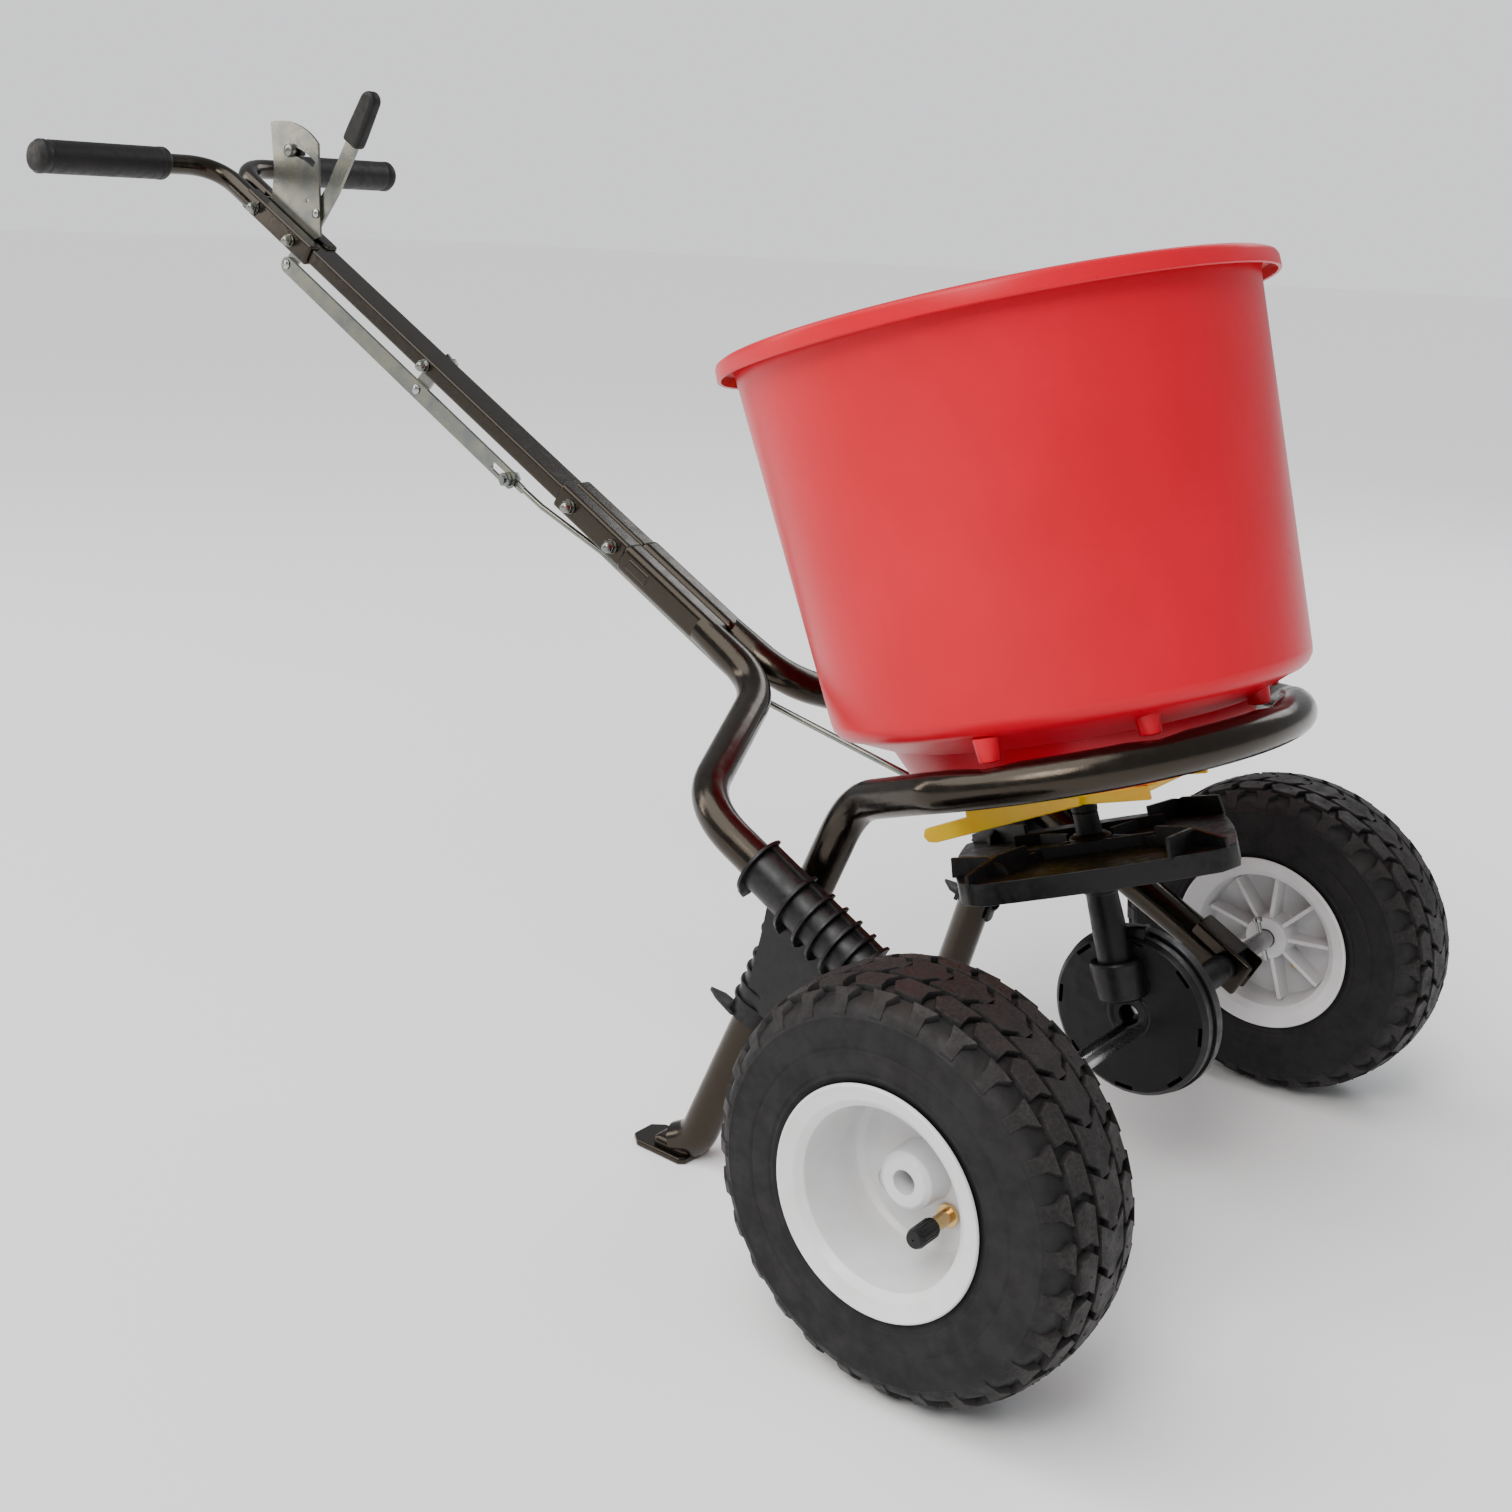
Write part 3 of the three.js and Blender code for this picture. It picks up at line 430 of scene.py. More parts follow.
PATCHES, GRAIN, SCRATCHES = build_patches(), build_grain(), build_scratches()
DUST, EDGES = build_dust(), build_edges()


# ---- finishes --------------------------------------------------------------
def place_group(tree, group, **values):
    node = tree.nodes.new("ShaderNodeGroup")
    node.node_tree = group
    for label, value in values.items():
        node.inputs[label].default_value = value
    return node.outputs[0]


def mix_colour(tree, mask, low, high):
    node = tree.nodes.new("ShaderNodeMix")
    node.data_type = "RGBA"
    colours = [s for s in node.inputs if s.type == "RGBA"]
    for socket, value in zip(colours, (low, high)):
        if isinstance(value, tuple):
            socket.default_value = (*value, 1)
        else:
            tree.links.new(value, socket)
    tree.links.new(mask, node.inputs[0])
    return next(s for s in node.outputs if s.type == "RGBA")


def finish_material(name, roughness, metallic=0.0, **sockets):
    material = bpy.data.materials.new(name)
    material.use_nodes = True
    shader = material.node_tree.nodes["Principled BSDF"]
    shader.inputs["Roughness"].default_value = roughness
    shader.inputs["Metallic"].default_value = metallic
    for label, value in sockets.items():
        shader.inputs[label.replace("_", " ")].default_value = value
    return material, material.node_tree, shader


def set_colour(tree, shader, base, masked_colour, mask):
    tree.links.new(mix_colour(tree, mask, base, masked_colour), shader.inputs["Base Color"])


def vary_roughness(tree, shader, mask, low, high):
    node = tree.nodes.new("ShaderNodeMapRange")
    node.inputs["To Min"].default_value = low
    node.inputs["To Max"].default_value = high
    tree.links.new(mask, node.inputs["Value"])
    tree.links.new(node.outputs["Result"], shader.inputs["Roughness"])


def set_bump(tree, shader, height, strength, distance):
    bump = tree.nodes.new("ShaderNodeBump")
    bump.inputs["Strength"].default_value = strength
    bump.inputs["Distance"].default_value = distance
    tree.links.new(height, bump.inputs["Height"])
    tree.links.new(bump.outputs["Normal"], shader.inputs["Normal"])


def red_plastic():
    """Glossy moulded hopper plastic."""
    material, tree, shader = finish_material("red_plastic", 0.3, Specular_IOR_Level=0.25)
    patches = place_group(tree, PATCHES, Scale=9.0)
    set_colour(tree, shader, (0.56, 0.0, 0.014), (0.61, 0.0, 0.018), patches)
    scratches = place_group(tree, SCRATCHES, Scale=70.0, Amount=0.5)
    vary_roughness(tree, shader, scratches, 0.32, 0.46)
    set_bump(tree, shader, place_group(tree, GRAIN, Fine=900.0, Coarse=28.0, Waviness=6.0), 0.12, 0.0004)
    return material


def yellow_plastic():
    material, tree, shader = finish_material("yellow_plastic", 0.4, Subsurface_Weight=0.15)
    shader.inputs["Subsurface Radius"].default_value = (0.006, 0.003, 0.0005)
    patches = place_group(tree, PATCHES, Scale=40.0)
    set_colour(tree, shader, (0.97, 0.68, 0.0), (0.98, 0.58, 0.0), patches)
    vary_roughness(tree, shader, place_group(tree, SCRATCHES, Scale=120.0, Amount=0.8), 0.34, 0.5)
    set_bump(tree, shader, place_group(tree, GRAIN, Fine=1400.0, Coarse=120.0), 0.15, 0.0003)
    return material


def black_paint():
    """Gloss powder coat on tube, its reflections tinted tan as a painted reflection of warm surroundings."""
    # The tan Specular Tint is a painted reflection: it colours every highlight as if warm surroundings were
    # mirrored in the coat.
    sockets = {"Specular_IOR_Level": 0.5, "Specular_Tint": (1.0, 0.84, 0.66, 1.0)}
    material, tree, shader = finish_material("black_paint", 0.26, **sockets)
    dust = place_group(tree, DUST, Scale=60.0, Amount=0.2)
    set_colour(tree, shader, (0.0016, 0.0013, 0.0012), (0.006, 0.005, 0.004), dust)
    vary_roughness(tree, shader, place_group(tree, PATCHES, Scale=120.0), 0.16, 0.27)
    set_bump(tree, shader, place_group(tree, GRAIN, Fine=800.0, Coarse=200.0, Waviness=1.5), 0.1, 0.0004)
    return material


def black_plastic():
    material, tree, shader = finish_material("black_plastic", 0.42, Specular_IOR_Level=0.35)
    edges = place_group(tree, EDGES, Scale=300.0, Amount=0.5)
    set_colour(tree, shader, (0.002, 0.002, 0.0024), (0.016, 0.015, 0.015), edges)
    vary_roughness(tree, shader, place_group(tree, PATCHES, Scale=150.0), 0.34, 0.52)
    set_bump(tree, shader, place_group(tree, GRAIN, Fine=1600.0, Coarse=300.0), 0.25, 0.0003)
    return material


def grip_vinyl():
    material, tree, shader = finish_material("grip_vinyl", 0.5, Specular_IOR_Level=0.35)
    dust = place_group(tree, DUST, Scale=90.0, Amount=0.4)
    set_colour(tree, shader, (0.002, 0.0018, 0.0018), (0.01, 0.008, 0.007), dust)
    vary_roughness(tree, shader, place_group(tree, PATCHES, Scale=140.0), 0.42, 0.6)
    set_bump(tree, shader, place_group(tree, GRAIN, Fine=1900.0, Coarse=260.0), 0.35, 0.0004)
    return material


def tyre_rubber():
    material, tree, shader = finish_material("tyre_rubber", 0.75, Specular_IOR_Level=0.3)
    dust = place_group(tree, DUST, Scale=38.0, Amount=0.45)
    # Pointed edges turn a lighter brown: partly worn, dusty edges and partly a painted edge highlight that lifts
    # the tread blocks out of the grooves.
    edges = place_group(tree, EDGES, Scale=500.0, Amount=0.5)
    dust_and_edge_highlight = add_maths(tree, "MAXIMUM", dust, edges)
    set_colour(tree, shader, (0.006, 0.006, 0.0068), (0.04, 0.031, 0.026), dust_and_edge_highlight)
    vary_roughness(tree, shader, place_group(tree, PATCHES, Scale=90.0), 0.55, 0.8)
    set_bump(tree, shader, place_group(tree, GRAIN, Fine=1500.0, Coarse=240.0, Waviness=1.0), 0.4, 0.0005)
    return material


def white_plastic():
    material, tree, shader = finish_material("white_plastic", 0.38)
    patches = place_group(tree, PATCHES, Scale=26.0)
    set_colour(tree, shader, (0.72, 0.72, 0.73), (0.64, 0.635, 0.63), patches)
    vary_roughness(tree, shader, place_group(tree, SCRATCHES, Scale=90.0, Amount=0.8), 0.34, 0.5)
    set_bump(tree, shader, place_group(tree, GRAIN, Fine=1500.0, Coarse=160.0), 0.2, 0.0003)
    return material


def metal(name, base, masked_colour, low, high, scale):
    """Bare or plated metal with fine drawn lines."""
    material, tree, shader = finish_material(name, (low + high) / 2, 1.0)
    patches = place_group(tree, PATCHES, Scale=scale)
    set_colour(tree, shader, base, masked_colour, patches)
    vary_roughness(tree, shader, place_group(tree, SCRATCHES, Scale=scale * 6, Amount=0.9), low, high)
    set_bump(tree, shader, place_group(tree, GRAIN, Fine=2200.0, Coarse=400.0), 0.12, 0.0002)
    return material


FINISHES = {
    "red_plastic": red_plastic(),
    "yellow_plastic": yellow_plastic(),
    "black_paint": black_paint(),
    "black_plastic": black_plastic(),
    "grip_vinyl": grip_vinyl(),
    "tyre_rubber": tyre_rubber(),
    "white_plastic": white_plastic(),
    "zinc": metal("zinc", (0.24, 0.24, 0.2), (0.17, 0.185, 0.18), 0.26, 0.44, 60.0),
    "steel": metal("steel", (0.42, 0.42, 0.42), (0.32, 0.32, 0.33), 0.2, 0.36, 50.0),
    "brass": metal("brass", (0.62, 0.43, 0.19), (0.45, 0.31, 0.14), 0.26, 0.42, 80.0),
}

# ---- wheels ----------------------------------------------------------------
VALVE_X = 10
VALVE_Z = -24
RIB_COUNT = 9
TREAD_COUNT = 28
GROOVE = 4.2
BLOCK_GAP = 4.2


def crown(u):
    """Tread radius at a distance u from the middle of the tyre."""
    bends = [(0, TYRE_R), (10, TYRE_R - 0.3), (26, 112.2), (34, 109.6), (41, 104.2), (45, 96)]
    u = abs(u)
    for (u0, r0), (u1, r1) in zip(bends, bends[1:]):
        if u <= u1:
            return r0 + (r1 - r0) * (u - u0) / (u1 - u0)
    return bends[-1][1]


def tread_block(points, turn):
    """A rubber block of (across, along) corners, wrapped onto the crown."""
    shape = flat(points, 0, 1)
    shape = bevelled(shape, 0.55, 2, 50)
    for vertex in shape.data.vertices:
        across_, along_, height = vertex.co
        radius = crown(across_) - (1 - height) * (GROOVE + 2)
        angle = along_ / TYRE_R + turn
        vertex.co = (radius * math.cos(angle), radius * math.sin(angle), across_)
    return tidy(shape)


def tread():
    """Arrow blocks down the middle, slanted blocks beside them and lugs on the shoulders."""
    pitch = 2 * math.pi * TYRE_R / TREAD_COUNT
    half = pitch / 2
    length = pitch - BLOCK_GAP
    arrow = [(-12.5, -11), (0, -3.5), (12.5, -11), (12.5, length - 11), (5, length - 5.5),
             (5, length - 1), (-5, length - 1), (-5, length - 5.5), (-12.5, length - 11)]
    slant = [(15.2, -9), (22, -13.5), (29.5, -9), (29.5, length - 13), (22, length - 13.5),
             (15.2, length - 9)]
    lug = [(32.2, -8), (38, -5), (43.6, -5), (43.6, length - 17), (38, length - 17), (32.2, length - 12)]
    pieces = [tread_block(arrow, 0)]
    for points, turn in ((slant, half / TYRE_R), (lug, 0)):
        for corners in (points, [(-u, v) for u, v in reversed(points)]):
            pieces.append(tread_block(corners, turn))
    for u, v in ((7, 3), (-7, 3), (20, half + 1), (-20, half + 1)):
        nub = moved(rod(0.9, 0, 1.0, 0.5, 8), ABOUT_X, shift(crown(u) - 0.9, 0, u))
        pieces.append(moved(nub, spun(v / TYRE_R)))
    one = joined(*pieces)
    copies = [one]
    for i in range(1, TREAD_COUNT):
        copy = one.copy()
        copy.data = one.data.copy()
        bpy.context.scene.collection.objects.link(copy)
        copies.append(moved(copy, spun(i * 2 * math.pi / TREAD_COUNT)))
    return joined(*copies)


def tyre():
    """The carcass with rings on its sidewalls, then the tread. Spun round Z."""
    side = [(63.2, 43.2), (66, 44.6), (67.5, 44.1), (69, 44.9), (78, 45), (80, 44.2), (82, 44.9), (92, 44.2),
            (95, 43.9), (96.4, 44.3), (98, 43.2), (101, 41.6), (103.6, 38.6), (crown(34) - GROOVE, 33.5),
            (crown(26) - GROOVE, 26), (crown(12) - GROOVE, 12)]
    other = [(r, -h) for r, h in reversed(side)]
    inner = [(51.3, -38.3), (51.3, -31.5), (98, -34), (98, 34), (51.3, 31.5), (51.3, 38.3)]
    carcass = turned(side + other + inner, 96)
    return joined(bevelled(carcass, 0.6, 2, 25), tread())


def rim():
    """A dished wheel with ribs behind its web; z points away from the dish."""
    barrel_r = 50.6
    hub_r = 16
    bore = AXLE_R + GAP
    section = [
        (RIM_LIP_R - 1.2, -RIM_HALF), (RIM_LIP_R, -RIM_HALF + 1), (RIM_LIP_R, -RIM_HALF + 2.6),
        (barrel_r, -RIM_HALF + 5.5), (barrel_r, RIM_HALF - 5.5), (RIM_LIP_R, RIM_HALF - 2.6),
        (RIM_LIP_R, RIM_HALF - 1), (RIM_LIP_R - 1.2, RIM_HALF), (59, RIM_HALF - 1.2),
        (53, RIM_HALF - 3.2), (48.6, RIM_HALF - 7.4),
        (45.8, 15), (hub_r, 11), (hub_r - 1, 34), (bore, 34), (bore, -16), (hub_r - 3, -16), (hub_r, -13),
        (hub_r + 1, 6), (41, 9), (44.5, 6), (46.4, 0), (48.6, -RIM_HALF + 7.4),
        (53, -RIM_HALF + 3.2), (59, -RIM_HALF + 1.2),
    ]
    body = bevelled(turned(section, 96), 1.0, 3, 22)
    for i in range(RIB_COUNT):
        rib = bevelled(block(hub_r - 2, 46.4, -1.5, 1.5, 10, 30), 0.5)
        body = joined(body, moved(rib, spun((i + 0.3) * 2 * math.pi / RIB_COUNT)))
    ring = bevelled(hoop(6, 7.2, 8.2, 7.0, 28), 0.3)
    mark = moved(ring, shift(-27, 8, -0.4))
    return joined(body, mark)


def valve():
    """Stem with a threaded end; z points away from the dish."""
    body = bevelled(rod(4, -22, 15, sides=28), 0.4)
    flange = bevelled(rod(6.6, 3.4, 6, sides=32), 0.5)
    threads = []
    for z in range(-21, -13, 2):
        threads.append(bevelled(turned([(3.4, z), (4.15, z + 0.5), (3.4, z + 1)], 28), 0.1))
    return moved(joined(body, flange, *threads), shift(VALVE_X, -VALVE_Z, 0))


def valve_cap():
    cap = turned([(4.25, -22), (5.2, -12), (5.3, -29), (4.4, -31), (0.4, -31.2), (0.4, -23)], 28)
    ribs = [moved(block(4.9, 5.5, -0.4, 0.4, -28, -13), spun(i * math.pi / 8)) for i in range(16)]
    return moved(joined(bevelled(cap, 0.3), *ribs), shift(VALVE_X, -VALVE_Z, 0))


def make_wheel(side, label, body):
    """side is -1 on the drive wheel's side. The dish faces away from the frame."""
    facing = ABOUT_Y if side < 0 else Matrix.Diagonal((1, -1, 1, 1)) @ ABOUT_Y
    where = MACHINE @ shift(0, side * WHEEL_Y, 0) @ facing
    for part, name, finish in ((tyre(), "tyre", "tyre_rubber"), (rim(), "rim", "white_plastic"),
                               (valve(), "valve_stem", "brass"), (valve_cap(), "valve_cap", "black_plastic")):
        piece = done(part, f"{name}_{label}", where, finish, body)
        if side > 0:
            edit(piece)
            bpy.ops.mesh.flip_normals()
            leave()


# ---- axle and gearbox ------------------------------------------------------
PIN_Y = WHEEL_Y - 34 - 7


def make_axle():
    bar = bevelled(across(AXLE_R, -WHEEL_Y + 12, WHEEL_Y - 12), 0.8)
    done(bar, "axle", MACHINE, "steel", "axle")
    for y, label in ((-PIN_Y, "near"), (PIN_Y, "far")):
        pin = joined(rod(2, -14, 14.5, sides=20), bevelled(rod(3.6, 14, 17, sides=24), 0.5))
        done(moved(pin, shift(0, y, 0)), f"axle_pin_{label}", MACHINE, "steel", "axle")
    for side, label in ((-1, "near"), (1, "far")):
        y = side * FRAME_END_Y
        bore = AXLE_R + GAP
        bush = hoop(bore, 8.6, y - 15, y + 15)
        collar_y = y + side * 14
        collar = hoop(8, 12, collar_y - 1.5, collar_y + 1.5)
        piece = joined(bevelled(bush, 0.4), bevelled(collar, 0.6))
        done(moved(piece, ABOUT_Y), f"axle_bushing_{label}", MACHINE, "black_plastic", "frame")
    bore = AXLE_R + GAP
    ends = (30, FRAME_END_Y - 15.5)
    section = [(bore, ends[0]), (9.5, ends[0]), (9.5, ends[1] - 6), (8.8, ends[1] - 5), (9.5, ends[1] - 4),
               (9.5, ends[1]), (bore, ends[1])]
    spacer = bevelled(turned(section, 40), 0.4)
    done(moved(spacer, ABOUT_Y), "axle_spacer", MACHINE, "black_plastic", "frame")


def make_gearbox():
    face, middle, back = 2, 13, 25
    bore = AXLE_R + GAP
    inside, outside = GEARBOX_R - 2.4, GEARBOX_R + 1.8
    front = turned([(bore, face), (11, face), (12, face - 0.8), (14, face - 0.8), (15, face),
                    (GEARBOX_R - 3, face), (GEARBOX_R, face + 3), (GEARBOX_R, middle - GAP),
                    (inside, middle - GAP), (inside, face + 2.4), (bore, face + 2.4)], 96)
    front = moved(bevelled(front, 0.5, 2, 20), ABOUT_Y, shift(0, 0, GEARBOX_Z))
    for i in range(8):
        slot = block(-6, 6, face - 2, face + 5, GEARBOX_R - 6, GEARBOX_R - 3.4)
        slot = moved(slot, spun(i * math.pi / 4 + 0.3, "Y"), shift(0, 0, GEARBOX_Z))
        front = drilled(front, slot)
    shaft_bore = SHAFT_R + GAP
    neck = turned([(12, 40), (10.4, NECK_TOP - 11), (12.8, NECK_TOP - 9), (12.8, NECK_TOP),
                   (shaft_bore, NECK_TOP), (shaft_bore, 44), (13, 43), (13, 20), (16, 22), (17.5, 44),
                   (16.5, 46), (12.6, 46)], 64)
    neck = bevelled(neck, 0.7, 3, 25)
    tab = bevelled(block(3, 26, 4, 12, GEARBOX_R - 2, GEARBOX_R + 12), 2.0, 3)
    trim = block(0, 40, 0, 20, GEARBOX_R + 7, GEARBOX_R + 30)
    tab = drilled(tab, moved(trim, spun(0.35, "Y")))
    done(joined(front, neck, tab), "gearbox_front", MACHINE, "black_plastic", "frame")
    rear = turned([(bore, back + 4.5), (15, back + 4.5), (15, back), (GEARBOX_R - 2, back),
                   (outside, back - 3), (outside, middle + 0.4), (inside, middle + 0.4),
                   (inside, back - 2.4), (bore, back - 2.4)], 96)
    rear = moved(bevelled(rear, 0.6, 2, 20), ABOUT_Y)
    for vertex in rear.data.vertices:
        far_out = math.hypot(vertex.co.x, vertex.co.z) > 16
        vertex.co.z += GEARBOX_Z if far_out else 0
    done(rear, "gearbox_rear", MACHINE, "black_plastic", "frame")


# ---- spinner ---------------------------------------------------------------
def spinner_outline(grow, steps=7):
    """Square plan with clipped corners and slightly bowed sides."""
    h = SPINNER_HALF + grow
    bow = 5
    side = []
    for i in range(steps + 1):
        t = i / steps
        side.append((-h + 12 + t * (2 * h - 24), -h - bow * 4 * t * (1 - t)))
    points = []
    for quarter in range(4):
        turn = Matrix.Rotation(quarter * math.pi / 2, 2)
        points += [tuple(turn @ Vector(p)) for p in side]
    return points


def make_spinner():
    z = SPINNER_Z
    tray = flat(spinner_outline(0), z - 11, z + 3)
    tray = drilled(tray, flat(spinner_outline(-2.4), z - 20, z))
    tray = bevelled(tray, 0.8, 2, 40)
    walls = []
    corner = SPINNER_HALF * 1.32
    for eighth in (1, 3, 5, 7):
        rise = [(58, z + 2), (corner, z + 2), (corner, z + 8), (84, z + 14.6), (58, z + 15)]
        rise = plate(rise, -1.6, 1.6)
        wing = plate([(62, z + 2), (106, z + 2), (104, z + 8), (92, z + 14.6), (64, z + 14.8)], -1.5, 1.5)
        wing = moved(wing, shift(-86, 0, 0), spun(1.75), shift(90, -9, 0))
        rib = block(20, 60, -1.4, 1.4, z + 2, z + 9)
        for wall in (rise, wing, rib):
            walls.append(moved(bevelled(wall, 0.5), spun(eighth * math.pi / 4)))
    rails = []
    for y in (-32, 32):
        rails.append(bevelled(block(-50, 50, y - 1.4, y + 1.4, z + 2, z + 10), 0.6))
    bore = SHAFT_R + GAP
    hub = turned([(bore, z - 6), (14, z - 6), (14, z + 8), (11, z + 10), (8.6, z + 10),
                  (8.2, z + SPINNER_SLEEVE), (bore, z + SPINNER_SLEEVE)], 48)
    piece = joined(tray, *walls, *rails, bevelled(hub, 0.6))
    done(moved(piece, spun(SPINNER_TURN)), "spinner", MACHINE, "black_plastic", "spinner")
    pin_z = z + SPINNER_SLEEVE + 5
    collar = turned([(bore, pin_z - 4.6), (8.6, pin_z - 4.6), (8.6, pin_z + 3.6), (7.6, pin_z + 4.6),
                     (bore, pin_z + 4.6)], 40)
    done(bevelled(collar, 0.3), "spinner_collar", MACHINE, "black_plastic", "spinner")
    shaft = bevelled(rod(SHAFT_R, 21, 226), 1.0)
    done(shaft, "spinner_shaft", MACHINE, "steel", "spinner")
    agitator = bevelled(rod(2, -36, 36, sides=24), 0.6)
    done(moved(agitator, ABOUT_X, shift(0, 0, 208)), "agitator_pin", MACHINE, "steel", "spinner")


# ---- hopper and shut-off ---------------------------------------------------
PORT_ANGLES = (-0.62, 0, 0.62)
PORT_REACH = 52
PORT_R = 12
PEG_COUNT = 5
PEG_STEP = 0.65


def port_bars(high, sides, back=0):
    """Bars that cut the ports; back is how far behind the ports they stand."""
    bars = []
    for angle in PORT_ANGLES:
        place = shift(PORT_REACH * math.cos(angle) - back, PORT_REACH * math.sin(angle), 0)
        bars.append(moved(rod(PORT_R, 150, high, sides=sides), place))
    return bars


def peg_spots(inset, z):
    """Where the hopper's pegs stand along the ring, this far inside its middle line."""
    angles = [(i - (PEG_COUNT - 1) / 2) * PEG_STEP for i in range(PEG_COUNT)]
    return [Vector((x, y, z)) for x, y in on_arc((RING_X, 0), RING_R - inset, angles)]


def wall_at(z):
    share = (z - HOPPER_LOW_Z) / (HOPPER_TOP_Z - HOPPER_LOW_Z)
    return HOPPER_LOW_R + (HOPPER_TOP_R - HOPPER_LOW_R) * share


def make_hopper():
    top = HOPPER_TOP_Z
    wall = 3.5
    rim_r = wall_at(top)
    lip_r = rim_r + 12
    floor_r, floor_z = 104, 168
    shelf_r = RING_R + RING_X - HOPPER_X - TUBE_R - 5
    shelf_z = RING_Z + TUBE_R + 3.5
    corner = [(HOPPER_LOW_R - 13 * (1 - math.sin(a)) + 0.5, HOPPER_LOW_Z + 9 - 12.5 * math.cos(a))
              for a in (math.pi / 2, 1.2, 0.8, 0.45, 0.1)]
    lip = [(rim_r - wall, top - 1.5), (rim_r - wall + 1.5, top), (lip_r - 4, top), (lip_r - 1.2, top - 1.4),
           (lip_r, top - 4), (lip_r, top - 12.2), (lip_r - 1, top - 13), (lip_r - 2.4, top - 12.4),
           (lip_r - 3.2, top - 5), (rim_r + 2.6, top - 4.4), (wall_at(top - 10) + 0.4, top - 9)]
    inner = [(floor_r - 2, floor_z + wall), (shelf_r - 3, shelf_z + wall), (HOPPER_LOW_R - 8, HOPPER_LOW_Z),
             (HOPPER_LOW_R - wall, HOPPER_LOW_Z + 9)]
    hole = 8
    base = [(shelf_r, shelf_z), (floor_r, floor_z), (hole, floor_z), (hole, floor_z + wall)]
    shell = moved(turned(lip + corner + base + inner, 144), shift(HOPPER_X, 0, 0))
    shell = drilled(shell, *port_bars(190, 36))
    pegs = []
    low = RING_Z + TUBE_R + GAP + 0.2
    for spot in peg_spots(9, 0):
        peg = bevelled(rod(6.6, low, low + 15, 8, 28), 1.0, 3)
        pegs.append(moved(peg, shift(*spot)))
    done(joined(shell, *pegs), "hopper", MACHINE, "red_plastic", "frame", smooth=30)


def make_shutoff():
    outline = [(-98, -34), (-84, -50), (-20, -66), (40, -60), (72, -34), (72, 34), (40, 60), (-20, 66),
               (-84, 50), (-98, 34), (-98, 14), (-70, 14), (-70, -14), (-98, -14)]
    ceiling = flat(outline, 161.6, 167.7)
    ceiling = drilled(ceiling, *port_bars(190, 32), rod(8, 150, 190, sides=32))
    pieces = [bevelled(ceiling, 0.8)]
    arm = [(-96, 141), (-93, 137), (-86, 136.6), (24, 154), (26, 163), (-60, 163), (-60, 152), (-94, 146)]
    for low, high in ((-49, -43), (43, 49)):
        pieces.append(bevelled(plate(arm, low, high), 1.0))
    for low, high in ((-44, -41), (41, 44)):
        pieces.append(bevelled(block(-60, 70, low, high, 154, 163), 0.6))
    done(joined(*pieces), "shutoff_guide", MACHINE, "yellow_plastic", "frame")
    half = [(HOOK_X - 9, -9), (-106, -9), (-106, -40.5), (64, -40.5)]
    slide = flat(half + [(x, -y) for x, y in reversed(half)], 157, 161.3)
    holes = port_bars(170, 32, 16) + [moved(rod(4.6, 150, 170, sides=24), shift(HOOK_X, 0, 0))]
    track = flat([(8 * math.cos(a) - (17 if math.cos(a) < 0 else 0), 8 * math.sin(a))
                  for a in [math.pi / 12 + i * math.pi / 12 - math.pi / 2 for i in range(24)]], 150, 170)
    done(bevelled(drilled(slide, track, *holes), 0.6), "shutoff_plate", MACHINE, "yellow_plastic", "shutoff")


# ---- frame tubes -----------------------------------------------------------
to_machine = MACHINE.inverted() @ FLOOR
HEEL = to_machine @ Vector((-229, -FOOT_Y, 15))
TOE = to_machine @ Vector((-244, -FOOT_Y, 7))


def other_side(points):
    return [Vector((p[0], -p[1], p[2])) for p in points]


def make_kickstand():
    first = Vector((RING_X, -RING_R, RING_Z))
    leg = bent([TOE, HEEL, Vector(LEG_TOP), first], 46, 10)
    ring = []
    for i in range(1, 48):
        a = -math.pi / 2 + i / 48 * math.pi
        ring.append(Vector((RING_X + RING_R * math.cos(a), RING_R * math.sin(a), RING_Z)))
    stand = tube(leg + ring + list(reversed(other_side(leg))), TUBE_R - 0.1, 12)
    dents = peg_spots(4, RING_Z + TUBE_R)
    for vertex in stand.data.vertices:
        spot = vertex.co
        for peg in dents:
            near = max(0.0, 1 - (spot - peg).length / 20)
            spot.z -= 2.2 * near * near * (3 - 2 * near)
    moved(stand, FLOOR.inverted() @ MACHINE)
    feet = []
    for side in (-1, 1):
        y = side * FOOT_Y
        foot = flat([(-276, y - 9), (-268, y - 16), (-232, y - 17), (-228, y - 13), (-228, y + 13),
                     (-232, y + 17), (-268, y + 16), (-276, y + 9)], 0.05, 4.4)
        foot = bevelled(foot, 1.4, 3)
        heel = bevelled(block(-258, -229, y - 12.3, y + 12.3, 2, 11), 4.4, 4)
        feet += [foot, heel]
    below = block(-400, 100, -300, 300, -60, 0.05)
    stand = drilled(stand, below)
    done(joined(stand, *feet), "kickstand_ring", FLOOR, "black_paint", "frame", smooth=50)


HANDLE_LINE = [Vector((-193, -157, 192)), Vector((0, -FRAME_END_Y, 0))]


def handle_point(point):
    return HANDLE.inverted() @ MACHINE @ Vector(point)


